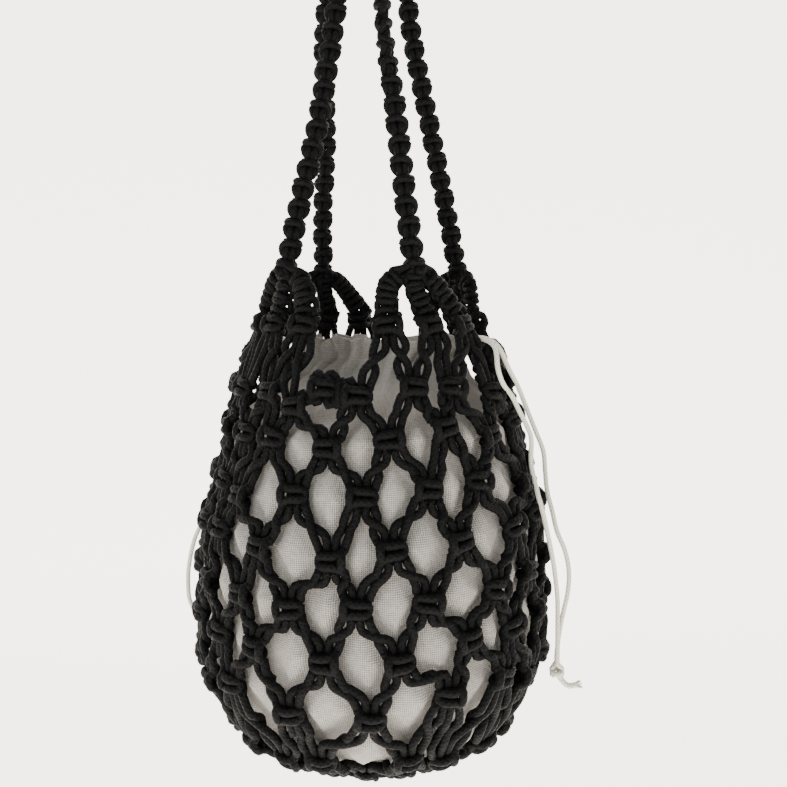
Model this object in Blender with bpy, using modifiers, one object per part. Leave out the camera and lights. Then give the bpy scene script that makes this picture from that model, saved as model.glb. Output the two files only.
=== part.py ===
"""Knotted cord shoulder bag with a linen drawstring pouch inside it, in metres.

The origin is where the two handles hang. +Z is up and the bag's front faces -Y. An azimuth is measured
round the bag's upright axis from the front, towards +X. A depth is measured down from the collar, the
level where the handles end.
"""

import math
from typing import NamedTuple

import bmesh
import bpy
from mathutils import Vector

# Driving sizes
STRAP_DROP = 0.270
BODY_HEIGHT = 0.296
BODY_RADIUS = 0.103
COLLAR_RADIUS = 0.064
CLEARANCE = 0.0003

# Net
KNOTS_ROUND = 18
FRONT_TURN = math.radians(-13.0)
KNOT_WIDTH = 0.0148
KNOT_HEIGHT = 0.0126
NET_THICKNESS = 0.0060
LEAN = 0.0045
ROW_STEP = 0.05

# Columns of the collar
COLUMN_WIDTH = 0.0132
COLUMN_THICKNESS = 0.0076
COLUMN_FAN = math.radians(13.0)
COLUMN_HEAD_DEPTH = 0.0125
COLUMN_HEAD_SHARE = 0.25
STEM_SHARE = 0.20
STEM_WIDTH = 0.0040
STEM_SPACE = 0.0046

# Handles
STRAP_WIDTH = 0.0135
STRAP_THICKNESS = 0.0085
STRAP_NECK_WIDTH = 0.0088
STRAP_NECK_THICKNESS = 0.0064
STRAP_PITCH = 0.0118
STRAP_SIDES = 6
HANDLE_OFFSET = 0.0080

# Base
BASE_THICKNESS = 0.0055
BASE_FLAT_RADIUS = 0.030
BASE_RIM_INSET = 0.30
BASE_RIM_SHARE = 0.35
BASE_STEPS = 36

# Pouch
POUCH_WALL = 0.0013
POUCH_CLEARANCE = 0.0022
POUCH_SEGMENTS = 32
MOUTH_WIDTH = 0.094
MOUTH_OFFSET = 0.012
PLEAT_COUNT = 16
PLEAT_DEPTH = 0.0012

# Drawstrings
DRAWSTRING_SIZE = 0.0028
DRAWSTRING_STEP = 2.8
DRAWSTRING_KNOT_SIZE = 0.0084


class Row(NamedTuple):
    """A row of knots: its depth and its radius, as shares of the body's height and radius."""

    depth: float
    radius: float


class Group(NamedTuple):
    """Three columns of the collar and the handle's end above them."""

    name: str
    azimuth: float
    middle_column: int


class Leg(NamedTuple):
    """One side of a handle: how far it bows to +X at set heights, as shares of the drop, and its twist."""

    group: str
    bows: tuple
    twist_start: float
    twist_end: float


class Handle(NamedTuple):
    """A handle: its two legs, and the round top between them where it hangs."""

    name: str
    left: Leg
    right: Leg
    side: int
    top_centre: float
    top_radius: float


class Section(NamedTuple):
    """A cross-section along a strip: place, width and thickness, each a share of the strip's own."""

    place: float
    width: float
    thickness: float


class Neck(NamedTuple):
    """A ring of the pouch above the net's hold.

    The depth is a share of the body's height, the half width and half depth are shares of the mouth's
    width, the shift is a share of the mouth's offset and the pleats are a share of the pleat's depth.
    """

    depth: float
    half_width: float
    half_depth: float
    shift: float
    pleats: float


class Hold(NamedTuple):
    """A ring of the pouch inside the net: its row and its slack, a share of the pouch's clearance."""

    row: float
    slack: float


NET_ROWS = (
    Row(0.117, 0.670),
    Row(0.237, 0.794),
    Row(0.312, 0.844),
    Row(0.404, 0.902),
    Row(0.492, 0.970),
    Row(0.588, 0.996),
    Row(0.672, 1.000),
    Row(0.781, 0.985),
    Row(0.900, 0.800),
    Row(0.958, 0.575),
)
DIP_KNOTS = (0, 4, 5, 9, 13, 14)
DIP_ROW = 0.56

GROUPS = {
    "front_left": Group("front_left", math.radians(-50.5), 16),
    "front_right": Group("front_right", math.radians(21.5), 2),
    "back_right": Group("back_right", math.radians(119.0), 7),
    "back_left": Group("back_left", math.radians(-149.0), 11),
}

BOW_HEIGHTS = (0.15, 0.34, 0.58, 0.80)
FRONT_HANDLE = Handle(
    "handle_front",
    Leg("front_left", (0.008, 0.021, 0.022, 0.010), 0.62, 0.90),
    Leg("front_right", (-0.010, -0.020, -0.036, -0.018), 0.28, 0.56),
    -1,
    -0.001,
    0.011,
)
BACK_HANDLE = Handle(
    "handle_back",
    Leg("back_left", (-0.009, -0.009, -0.026, -0.012), 0.64, 0.92),
    Leg("back_right", (-0.003, -0.010, -0.019, -0.008), 0.64, 0.92),
    1,
    -0.003,
    0.015,
)

COLUMN_SECTIONS = (
    Section(0.00, 0.30, 0.62),
    Section(0.19, 0.32, 0.62),
    Section(0.35, 0.70, 0.84),
    Section(0.48, 1.00, 1.00),
    Section(0.65, 0.76, 0.80),
    Section(0.83, 1.00, 1.00),
    Section(1.00, 0.80, 0.80),
)

POUCH_BODY = (
    Hold(2.05, 1.0),
    Hold(3.00, 1.0),
    Hold(4.00, 1.0),
    Hold(5.00, 1.0),
    Hold(6.00, 1.0),
    Hold(6.90, 1.2),
    Hold(7.50, 1.6),
    Hold(8.10, 1.4),
    Hold(8.70, 1.2),
)
POUCH_NECK = (
    Neck(0.1540, 0.47, 0.150, 1.00, 1.0),
    Neck(0.1750, 0.46, 0.155, 1.00, 1.0),
    Neck(0.2050, 0.49, 0.200, 0.85, 1.0),
    Neck(0.2300, 0.55, 0.290, 0.70, 0.6),
    Neck(0.2620, 0.69, 0.500, 0.40, 0.3),
)

# Routes of the drawstrings, chosen by hand from where they leave the casing down to their knots
RIGHT_OUTER_ROUTE = (
    (0.0530, -0.0072, -0.3166),
    (0.0635, -0.0285, -0.3125),
    (0.0722, -0.0385, -0.3165),
    (0.0800, -0.0335, -0.3310),
    (0.0872, -0.0230, -0.3428),
    (0.0930, -0.0190, -0.3563),
    (0.0980, -0.0180, -0.3686),
    (0.1026, -0.0185, -0.3808),
    (0.1034, -0.0205, -0.3924),
    (0.1042, -0.0225, -0.4038),
    (0.1068, -0.0245, -0.4154),
    (0.1095, -0.0250, -0.4270),
    (0.1143, -0.0250, -0.4390),
    (0.1166, -0.0250, -0.4508),
    (0.1161, -0.0248, -0.4626),
    (0.1137, -0.0243, -0.4744),
    (0.1114, -0.0238, -0.4862),
    (0.1098, -0.0235, -0.4990),
    (0.1096, -0.0235, -0.5060),
)
RIGHT_INNER_ROUTE = (
    (0.0540, -0.0115, -0.3206),
    (0.0560, -0.0290, -0.3150),
    (0.0622, -0.0385, -0.3125),
    (0.0690, -0.0505, -0.3165),
    (0.0705, -0.0545, -0.3290),
    (0.0742, -0.0490, -0.3378),
    (0.0803, -0.0438, -0.3458),
    (0.0849, -0.0390, -0.3543),
    (0.0901, -0.0360, -0.3640),
    (0.0926, -0.0350, -0.3716),
    (0.0922, -0.0370, -0.3853),
    (0.0948, -0.0420, -0.4005),
    (0.0978, -0.0434, -0.4122),
    (0.1014, -0.0385, -0.4254),
    (0.1056, -0.0335, -0.4430),
    (0.1087, -0.0300, -0.4640),
    (0.1092, -0.0285, -0.4825),
    (0.1093, -0.0275, -0.4990),
    (0.1092, -0.0272, -0.5060),
)
LEFT_OUTER_ROUTE = (
    (-0.0358, 0.0000, -0.3160),
    (-0.0480, 0.0010, -0.3158),
    (-0.0640, 0.0130, -0.3150),
    (-0.0790, 0.0290, -0.3210),
    (-0.0850, 0.0330, -0.3400),
    (-0.0900, 0.0340, -0.3600),
    (-0.0962, 0.0320, -0.3850),
    (-0.1030, 0.0280, -0.4100),
    (-0.1096, 0.0230, -0.4330),
    (-0.1147, 0.0220, -0.4460),
    (-0.1182, 0.0220, -0.4640),
    (-0.1180, 0.0220, -0.4810),
    (-0.1152, 0.0235, -0.4900),
    (-0.1110, 0.0260, -0.4990),
    (-0.1070, 0.0290, -0.5120),
)
LEFT_INNER_ROUTE = (
    (-0.0318, 0.0060, -0.3190),
    (-0.0450, 0.0090, -0.3180),
    (-0.0590, 0.0215, -0.3150),
    (-0.0680, 0.0320, -0.3140),
    (-0.0755, 0.0400, -0.3215),
    (-0.0803, 0.0440, -0.3400),
    (-0.0840, 0.0465, -0.3600),
    (-0.0890, 0.0480, -0.3850),
    (-0.0940, 0.0480, -0.4100),
    (-0.0985, 0.0460, -0.4350),
    (-0.1015, 0.0430, -0.4600),
    (-0.1035, 0.0385, -0.4850),
    (-0.1050, 0.0325, -0.5120),
)

# Tails of the drawstrings, from the middle of each knot
RIGHT_TAIL = ((0.0030, 0.0, -0.0046), (0.0068, 0.0, -0.0078), (0.0120, 0.0, -0.0072))
LEFT_TAIL = ((-0.0010, 0.0, -0.0054), (-0.0018, 0.0, -0.0100), (-0.0022, 0.0, -0.0150))

# A drawstring knot's sizes down to its middle and just below it, as shares of the knot's size
STRING_KNOT_TOP = 0.70
STRING_KNOT_SHOULDER = 0.95
STRING_KNOT_FOOT = 0.60
SHOULDER_SHARE = 0.35
FRAYED_SHARE = 1.2

CORD_BLACK = (0.012, 0.013, 0.013)
LINEN = (0.56, 0.53, 0.48)
CREAM = (0.80, 0.77, 0.68)

COLLECTION = bpy.data.collections.new("knotted_shoulder_bag")


def clear_scene():
    """Removes the scene's objects."""
    for obj in list(bpy.data.objects):
        bpy.data.objects.remove(obj, do_unlink=True)
    bpy.context.scene.collection.children.link(COLLECTION)


def new_material(name, colour, roughness):
    """Returns a plain dielectric material."""
    material = bpy.data.materials.new(name)
    material.use_nodes = True
    shader = material.node_tree.nodes["Principled BSDF"]
    shader.inputs["Base Color"].default_value = (*colour, 1.0)
    shader.inputs["Roughness"].default_value = roughness
    shader.inputs["Metallic"].default_value = 0.0
    return material


def add_object(name, data, material):
    """Puts a mesh or curve in the bag's collection as an object with its own material."""
    data.materials.append(material)
    obj = bpy.data.objects.new(name, data)
    COLLECTION.objects.link(obj)
    return obj


def add_mesh(name, build, material):
    """Turns a bmesh into an object, with its faces pointing out."""
    bmesh.ops.recalc_face_normals(build, faces=build.faces)
    mesh = bpy.data.meshes.new(name)
    build.to_mesh(mesh)
    build.free()
    mesh.shade_smooth()
    mesh.set_sharp_from_angle(angle=math.radians(40.0))
    return add_object(name, mesh, material)


def spline(points, place):
    """Returns the point of a Catmull-Rom curve through the points, at a place counted in points."""
    last = len(points) - 1
    index = min(max(int(math.floor(place)), 0), last - 1)
    t = place - index
    p1 = points[index]
    p2 = points[index + 1]
    p0 = points[index - 1] if index > 0 else p1 + (p1 - p2)
    p3 = points[index + 2] if index + 2 <= last else p2 + (p2 - p1)
    bend = 2 * p0 - 5 * p1 + 4 * p2 - p3
    turn = 3 * p1 - p0 - 3 * p2 + p3
    return p1 + 0.5 * t * ((p2 - p0) + t * (bend + t * turn))


def resample(points, step):
    """Returns points spaced about one step apart along the curve through the given ones."""
    count = 24 * (len(points) - 1)
    fine = [spline(points, i * (len(points) - 1) / count) for i in range(count + 1)]
    lengths = [0.0]
    for a, b in zip(fine, fine[1:]):
        lengths.append(lengths[-1] + (b - a).length)
    pieces = max(1, round(lengths[-1] / step))
    result = []
    index = 0
    for i in range(pieces + 1):
        wanted = lengths[-1] * i / pieces
        while index < count - 1 and lengths[index + 1] < wanted:
            index += 1
        share = (wanted - lengths[index]) / (lengths[index + 1] - lengths[index])
        result.append(fine[index].lerp(fine[index + 1], share))
    return result


def around(radius, azimuth, depth):
    """Returns the point at a radius, azimuth and depth below the collar."""
    height = -STRAP_DROP - depth
    return Vector((radius * math.sin(azimuth), -radius * math.cos(azimuth), height))


def net_profile(row):
    """Returns the net's radius and depth at a row, which may lie between two rows."""
    points = [Vector((r.radius * BODY_RADIUS, r.depth * BODY_HEIGHT)) for r in NET_ROWS]
    return spline(points, row)


def net_point(row, azimuth, outward=0.0):
    """Returns a point of the net's middle surface, or off it along the surface's normal."""
    radius, depth = net_profile(row)
    slope = net_profile(row + 0.4 * ROW_STEP) - net_profile(row - 0.4 * ROW_STEP)
    slope.normalize()
    last = len(NET_ROWS) - 1
    lean = LEAN * math.sin(math.pi * min(max(row / last, 0.0), 1.0))
    shifted = depth - lean * math.sin(azimuth)
    return around(radius + outward * slope.y, azimuth, shifted - outward * slope.x)


def knot_azimuth(row, index):
    """Returns a knot's azimuth. Odd rows lie half a space further round."""
    return FRONT_TURN + (index + 0.5 * (row % 2)) * math.tau / KNOTS_ROUND


def rows_long(length, row):
    """Returns how many rows a length down the net spans at a row."""
    reach = 2.0 * ROW_STEP
    return length * 2.0 * reach / (net_profile(row + reach) - net_profile(row - reach)).length


def knot_patch(build, row, azimuth, cache):
    """Adds a knot's two faces to the net's surface and keeps its three upper and lower corners."""
    radius = net_profile(row).x
    half_row = rows_long(0.5 * KNOT_HEIGHT, row)
    half_turn = 0.5 * KNOT_WIDTH / radius
    corners = []
    for level in (row - half_row, row + half_row):
        turns = (azimuth - half_turn, azimuth, azimuth + half_turn)
        corners.append([build.verts.new(net_point(level, turn)) for turn in turns])
    upper, lower = corners
    for i in range(2):
        build.faces.new((upper[i], upper[i + 1], lower[i + 1], lower[i]))
    cache.append((upper, lower))


def make_net(material):
    """The net: rows of knots joined by slanting bands, cut through between them, down to the base."""
    build = bmesh.new()
    rows = []
    for row in range(len(NET_ROWS)):
        knots = []
        for index in range(KNOTS_ROUND):
            place = DIP_ROW if row == 0 and index in DIP_KNOTS else row
            knot_patch(build, place, knot_azimuth(row, index), knots)
        rows.append(knots)
    for row, (above, below) in enumerate(zip(rows, rows[1:])):
        for index in range(KNOTS_ROUND):
            left, middle, right = above[index][1]
            next_right = below[(index + row % 2) % KNOTS_ROUND][0]
            next_left = below[(index - 1 + row % 2) % KNOTS_ROUND][0]
            build.faces.new((middle, right, next_right[1], next_right[0]))
            build.faces.new((left, middle, next_left[2], next_left[1]))
    net = add_mesh("net", build, material)
    solidify = net.modifiers.new("cord_thickness", "SOLIDIFY")
    solidify.thickness = NET_THICKNESS
    solidify.offset = 0.0
    return net


def strip(name, stations, sides, material):
    """Lofts a closed strip through stations of centre, across, face, half width and half thickness."""
    build = bmesh.new()
    rings = []
    for centre, across, face, half_width, half_thickness in stations:
        ring = []
        for i in range(sides):
            turn = math.tau * (i + 0.5) / sides
            offset = across * (half_width * math.cos(turn) / math.cos(math.pi / sides))
            offset += face * (half_thickness * math.sin(turn))
            ring.append(build.verts.new(centre + offset))
        rings.append(ring)
    for a, b in zip(rings, rings[1:]):
        for i in range(sides):
            j = (i + 1) % sides
            build.faces.new((a[i], a[j], b[j], b[i]))
    build.faces.new(rings[0][::-1])
    build.faces.new(rings[-1])
    return add_mesh(name, build, material)


def make_column(group, offset, material):
    """One column of the collar: a stem from the handle's end, then two knots down to the net's top row."""
    base = group.azimuth
    below = knot_azimuth(0, group.middle_column + offset)
    # The column's foot is a whole turn away from the handle's end for groups past the back
    below += math.tau * round((base - below) / math.tau)
    head = base + offset * COLUMN_FAN
    foot = -rows_long(0.5 * KNOT_HEIGHT + CLEARANCE, 0)
    foot_point = net_point(foot, below)
    foot_down = (net_point(foot + ROW_STEP, below) - foot_point).normalized()
    head_radius = COLLAR_RADIUS + COLUMN_HEAD_SHARE * (net_profile(0).x - COLLAR_RADIUS)
    start = around(COLLAR_RADIUS, base + offset * STEM_SPACE / COLLAR_RADIUS, CLEARANCE)
    route = [start, around(head_radius, head, COLUMN_HEAD_DEPTH), foot_point]
    stations = []
    for section in COLUMN_SECTIONS:
        place = section.place * (len(route) - 1)
        centre = spline(route, place)
        ahead = spline(route, min(place + ROW_STEP, len(route) - 1))
        behind = spline(route, max(place - ROW_STEP, 0.0))
        along = (ahead - behind).normalized()
        if section.place == 0.0:
            along = Vector((0.0, 0.0, -1.0))
        if section.place == 1.0:
            along = foot_down
        outward = Vector((centre.x, centre.y, 0.0)).normalized()
        across = outward.cross(along).normalized()
        face = along.cross(across).normalized()
        width = 0.5 * COLUMN_WIDTH * section.width
        if section.place < STEM_SHARE:
            width = 0.5 * STEM_WIDTH
        thickness = 0.5 * COLUMN_THICKNESS * section.thickness
        stations.append((centre, across, face, width, thickness))
    name = f"column_{group.name}_{offset + 2}"
    return strip(name, stations, STRAP_SIDES, material)


def leg_route(handle, leg, side):
    """Returns a leg's points from the collar up to where the handle's round top begins."""
    foot = around(COLLAR_RADIUS, GROUPS[leg.group].azimuth, 0.0)
    top = foot.copy()
    top.x = handle.top_centre + side * handle.top_radius
    top.y = handle.side * HANDLE_OFFSET
    top.z = 0.5 * STRAP_THICKNESS - handle.top_radius
    points = [foot]
    for share, bow in zip(BOW_HEIGHTS, leg.bows):
        point = foot.lerp(top, share)
        point.x += bow * STRAP_DROP
        points.append(point)
    points.append(top)
    return points


def make_handle(handle, material):
    """A handle: a chain of square knots up one leg, round the top where it hangs, and down the other."""
    left = leg_route(handle, handle.left, -1)
    right = leg_route(handle, handle.right, 1)
    crown = Vector((handle.top_centre, handle.side * HANDLE_OFFSET, 0.5 * STRAP_THICKNESS))
    arch = []
    for angle in (45.0, 90.0, 135.0):
        turn = math.radians(angle)
        drop = handle.top_radius * (math.sin(turn) - 1.0)
        across = -handle.top_radius * math.cos(turn)
        arch.append(crown + Vector((across, 0.0, drop)))
    route = left + arch + right[::-1]
    points = resample(route, 0.5 * STRAP_PITCH)
    if len(points) % 2 == 0:
        points = resample(route, 0.5 * STRAP_PITCH * (1.0 + 1.0 / len(points)))
    stations = []
    last = len(points) - 1
    for i, centre in enumerate(points):
        along = (points[min(i + 1, last)] - points[max(i - 1, 0)]).normalized()
        if i in (0, last):
            along = Vector((0.0, 0.0, 1.0 if i == 0 else -1.0))
        leg = handle.left if 2 * i < last else handle.right
        height = (centre.z + STRAP_DROP) / STRAP_DROP
        share = (height - leg.twist_start) / (leg.twist_end - leg.twist_start)
        share = min(max(share, 0.0), 1.0)
        twist = 0.5 * math.pi * share * share * (3.0 - 2.0 * share)
        front = Vector((0.0, -1.0, 0.0))
        front = (front - along * front.dot(along)).normalized()
        face = math.cos(twist) * front - math.sin(twist) * along.cross(front)
        across = along.cross(face).normalized()
        if i % 2 == 1:
            size = (0.5 * STRAP_WIDTH, 0.5 * STRAP_THICKNESS)
        else:
            size = (0.5 * STRAP_NECK_WIDTH, 0.5 * STRAP_NECK_THICKNESS)
        stations.append((centre, across, face, *size))
    return strip(handle.name, stations, STRAP_SIDES, material)


def make_base(material):
    """The base: a dense knotted disc that closes the net's lowest ring, turned about the bag's axis."""
    last = len(NET_ROWS) - 1
    edge, edge_depth = net_profile(last + rows_long(0.5 * KNOT_HEIGHT, last))
    rim = edge - BASE_RIM_INSET * NET_THICKNESS - CLEARANCE
    bottom = -STRAP_DROP - BODY_HEIGHT
    rim_depth = -STRAP_DROP - edge_depth
    profile = (
        (0.0, bottom + BASE_THICKNESS),
        (BASE_FLAT_RADIUS, bottom + BASE_THICKNESS),
        (rim, rim_depth + BASE_RIM_SHARE * BASE_THICKNESS),
        (rim, rim_depth - BASE_RIM_SHARE * BASE_THICKNESS),
        (BASE_FLAT_RADIUS, bottom),
        (0.0, bottom),
    )
    build = bmesh.new()
    points = [build.verts.new((x, 0.0, z)) for x, z in profile]
    for a, b in zip(points, points[1:]):
        build.edges.new((a, b))
    mesh = bpy.data.meshes.new("base")
    build.to_mesh(mesh)
    build.free()
    base = add_object("base", mesh, material)
    screw = base.modifiers.new("turn", "SCREW")
    screw.steps = BASE_STEPS
    screw.render_steps = BASE_STEPS
    screw.use_merge_vertices = True
    screw.merge_threshold = 0.00005
    return base


def make_pouch(material):
    """The pouch: a thin hollow bag of linen that fills the net, drawn in to a pleated mouth."""
    build = bmesh.new()
    rings = []
    for neck in POUCH_NECK:
        ring = []
        for i in range(POUCH_SEGMENTS):
            turn = math.tau * i / POUCH_SEGMENTS
            pleat = neck.pleats * PLEAT_DEPTH * math.cos(PLEAT_COUNT * turn)
            x = (neck.half_width * MOUTH_WIDTH + pleat) * math.sin(turn)
            y = -(neck.half_depth * MOUTH_WIDTH + pleat) * math.cos(turn)
            z = -STRAP_DROP - neck.depth * BODY_HEIGHT
            ring.append(build.verts.new((x + neck.shift * MOUTH_OFFSET, y, z)))
        rings.append(ring)
    turns = [math.tau * i / POUCH_SEGMENTS for i in range(POUCH_SEGMENTS)]
    for row, slack in POUCH_BODY:
        inset = 0.5 * NET_THICKNESS + slack * POUCH_CLEARANCE + 0.5 * POUCH_WALL
        rings.append([build.verts.new(net_point(row, turn, -inset)) for turn in turns])
    floor = -STRAP_DROP - BODY_HEIGHT + BASE_THICKNESS + 0.5 * POUCH_WALL + 2.0 * CLEARANCE
    for a, b in zip(rings, rings[1:]):
        for i in range(POUCH_SEGMENTS):
            j = (i + 1) % POUCH_SEGMENTS
            build.faces.new((a[i], a[j], b[j], b[i]))
    centre = build.verts.new((0.0, 0.0, floor))
    for i in range(POUCH_SEGMENTS):
        j = (i + 1) % POUCH_SEGMENTS
        build.faces.new((rings[-1][i], rings[-1][j], centre))
    pouch = add_mesh("pouch", build, material)
    solidify = pouch.modifiers.new("cloth", "SOLIDIFY")
    solidify.thickness = POUCH_WALL
    solidify.offset = 0.0
    return pouch


def make_cord(name, route, material):
    """A drawstring's strand, as a round tube along its route."""
    points = resample([Vector(p) for p in route], DRAWSTRING_STEP * DRAWSTRING_SIZE)
    return tube(name, points, [1.0] * len(points), material)


def tube(name, points, sizes, material):
    """A closed tube through the points, whose sizes are shares of a drawstring's."""
    curve = bpy.data.curves.new(name, "CURVE")
    curve.dimensions = "3D"
    curve.bevel_depth = 0.5 * DRAWSTRING_SIZE
    curve.bevel_resolution = 2
    curve.use_fill_caps = True
    line = curve.splines.new("POLY")
    line.points.add(len(points) - 1)
    for place, point, size in zip(line.points, points, sizes):
        place.co = (*point, 1.0)
        place.radius = size
    return add_object(name, curve, material)


def make_string_knot(name, first, second, tail, material):
    """The knot where two strands meet, just below their ends, with its tail."""
    top = 0.5 * (Vector(first[-1]) + Vector(second[-1]))
    top.z = min(first[-1][2], second[-1][2]) - 2.0 * CLEARANCE
    swell = DRAWSTRING_KNOT_SIZE / DRAWSTRING_SIZE
    middle = top - Vector((0.0, 0.0, 0.5 * DRAWSTRING_KNOT_SIZE))
    points = [top, top.lerp(middle, SHOULDER_SHARE), middle]
    points += [middle + Vector(offset) for offset in tail]
    shares = (STRING_KNOT_TOP, STRING_KNOT_SHOULDER, 1.0, STRING_KNOT_FOOT)
    sizes = [share * swell for share in shares] + [1.0, FRAYED_SHARE]
    return tube(name, points, sizes, material)


def main():
    """Builds the bag."""
    clear_scene()
    black = new_material("black_cord", CORD_BLACK, 0.85)
    linen = new_material("linen", LINEN, 0.95)
    cream = new_material("cream_cord", CREAM, 0.80)
    make_net(black)
    make_base(black)
    for group in GROUPS.values():
        for offset in (-1, 0, 1):
            make_column(group, offset, black)
    make_handle(FRONT_HANDLE, black)
    make_handle(BACK_HANDLE, black)
    make_pouch(linen)
    make_cord("drawstring_right_outer", RIGHT_OUTER_ROUTE, cream)
    make_cord("drawstring_right_inner", RIGHT_INNER_ROUTE, cream)
    make_cord("drawstring_left_outer", LEFT_OUTER_ROUTE, cream)
    make_cord("drawstring_left_inner", LEFT_INNER_ROUTE, cream)
    make_string_knot("string_knot_right", RIGHT_OUTER_ROUTE, RIGHT_INNER_ROUTE, RIGHT_TAIL, cream)
    make_string_knot("string_knot_left", LEFT_OUTER_ROUTE, LEFT_INNER_ROUTE, LEFT_TAIL, cream)


main()
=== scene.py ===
"""Knotted black shoulder bag with a linen drawstring pouch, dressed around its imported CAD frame.

Lengths are in metres. The origin is where the two handles hang, +Z is up and the bag's front faces -Y.
An azimuth is measured round the bag's upright axis from the front towards +X, and a depth down from the
collar, where the handles end. Inside a knot, lengths are in millimetres across, down and outward.
"""

import logging
import math
from collections.abc import Sequence
from dataclasses import dataclass, field
from enum import Enum

import bpy
import numpy as np
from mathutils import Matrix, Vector

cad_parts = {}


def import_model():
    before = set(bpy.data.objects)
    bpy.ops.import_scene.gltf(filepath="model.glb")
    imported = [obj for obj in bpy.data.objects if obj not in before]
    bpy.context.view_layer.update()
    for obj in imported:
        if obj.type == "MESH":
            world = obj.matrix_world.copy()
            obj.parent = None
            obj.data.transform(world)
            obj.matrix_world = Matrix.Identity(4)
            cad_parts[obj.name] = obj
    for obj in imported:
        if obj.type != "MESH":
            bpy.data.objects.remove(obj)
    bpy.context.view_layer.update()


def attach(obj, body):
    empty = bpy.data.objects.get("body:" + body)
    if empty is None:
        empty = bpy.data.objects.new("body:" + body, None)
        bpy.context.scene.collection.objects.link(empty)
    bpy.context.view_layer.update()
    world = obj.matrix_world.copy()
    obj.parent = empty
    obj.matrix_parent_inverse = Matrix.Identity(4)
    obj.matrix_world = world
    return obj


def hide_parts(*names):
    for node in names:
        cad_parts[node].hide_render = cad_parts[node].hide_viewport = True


LOG = logging.getLogger("knotted_shoulder_bag")
Array = np.ndarray
MM = 0.001
UP = np.array((0.0, 0.0, 1.0))
FRONT = np.array((0.0, -1.0, 0.0))
NEARLY_UPRIGHT = 0.2

# How far apart, in rows, the net's surface is read for its slope, its directions and its length
SLOPE_STEP = 0.02
PLACE_STEP = 0.05
LENGTH_STEP = 0.1

# The spacing of points along the cords of the net, its knots' workers, and the middle cords
CORD_STEP = 0.0022
WRAP_STEP = 0.0018
STILL_STEP = 0.0028

# The azimuths of the handles' ends
ENDS = {
    "front_left": math.radians(-50.5),
    "front_right": math.radians(21.5),
    "back_right": math.radians(119.0),
    "back_left": math.radians(-149.0),
}

# Knots that the photograph shows off the even net: degrees further round and millimetres further down
NUDGES = {
    (0, 0): (-5.4, 13.0),
    (1, 17): (-6.3, 8.7),
    (1, 0): (-2.6, 1.2),
    (1, 1): (-1.5, -3.1),
    (1, 2): (-4.9, -2.5),
    (1, 3): (-2.9, 3.1),
    (2, 17): (-4.8, 2.5),
    (2, 0): (-2.1, 5.6),
    (2, 1): (-1.1, 1.2),
    (2, 2): (-0.8, -4.3),
    (2, 3): (0.2, 2.5),
    (3, 16): (-6.9, 8.7),
    (3, 17): (-3.0, 3.1),
    (3, 0): (-0.2, 2.5),
    (3, 1): (1.0, -0.6),
    (3, 2): (0.6, -1.9),
    (3, 3): (7.1, 6.8),
    (4, 16): (-4.1, 1.9),
    (4, 17): (-3.0, 5.0),
    (4, 0): (1.2, 7.4),
    (4, 1): (-1.4, 1.9),
    (4, 2): (-0.1, 0.0),
    (4, 3): (3.2, -1.9),
    (5, 17): (-1.4, 5.0),
    (5, 0): (-1.5, 1.9),
    (5, 1): (-0.8, 0.0),
    (5, 2): (2.7, -0.6),
    (6, 17): (-3.5, 3.7),
    (6, 0): (-0.4, 5.0),
    (6, 1): (0.6, 4.3),
    (6, 2): (2.0, -3.1),
    (7, 16): (-3.5, -5.6),
    (7, 17): (-1.6, 1.9),
    (7, 0): (2.4, 1.2),
    (7, 1): (5.6, -8.7),
    (7, 2): (5.1, -10.5),
    (8, 0): (-5.0, -4.3),
    (8, 1): (5.5, -6.2),
}


# Curves and frames


def unit(vector: Array) -> Array:
    """Returns the vector at length one."""
    return vector / np.linalg.norm(vector)


def spline(points: Array, place: float) -> Array:
    """Finds a point of the Catmull-Rom curve through some points.

    Args:
        points: The points, one a row.
        place: Where on the curve, counted in points.

    Returns:
        The point.
    """
    last = len(points) - 1
    index = min(max(math.floor(place), 0), last - 1)
    t = place - index
    p1, p2 = points[index], points[index + 1]
    p0 = points[index - 1] if index > 0 else 2 * p1 - p2
    p3 = points[index + 2] if index + 2 <= last else 2 * p2 - p1
    bend = 2 * p0 - 5 * p1 + 4 * p2 - p3
    turn = 3 * p1 - p0 - 3 * p2 + p3
    return p1 + 0.5 * t * ((p2 - p0) + t * (bend + t * turn))


def smooth_line(points: Array, step: float, parts: int = 8) -> Array:
    """Resamples the Catmull-Rom curve through some points at even steps.

    Args:
        points: The points, one a row.
        step: The spacing wanted along the curve.
        parts: How finely each stretch between two points is followed.

    Returns:
        The points of the curve, both ends included.
    """
    padded = np.vstack((2 * points[0] - points[1], points, 2 * points[-1] - points[-2]))
    t = np.linspace(0.0, 1.0, parts, endpoint=False)[:, None]
    stretches = []
    for p0, p1, p2, p3 in zip(padded, padded[1:], padded[2:], padded[3:]):
        bend = 2 * p0 - 5 * p1 + 4 * p2 - p3
        turn = 3 * p1 - p0 - 3 * p2 + p3
        stretches.append(p1 + 0.5 * t * ((p2 - p0) + t * (bend + t * turn)))
    fine = np.vstack((*stretches, points[-1]))
    gaps = np.linalg.norm(np.diff(fine, axis=0), axis=1)
    lengths = np.concatenate(((0.0,), np.cumsum(gaps)))
    wanted = np.linspace(0.0, lengths[-1], max(2, round(lengths[-1] / step)) + 1)
    return np.column_stack([np.interp(wanted, lengths, fine[:, axis]) for axis in range(3)])


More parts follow.
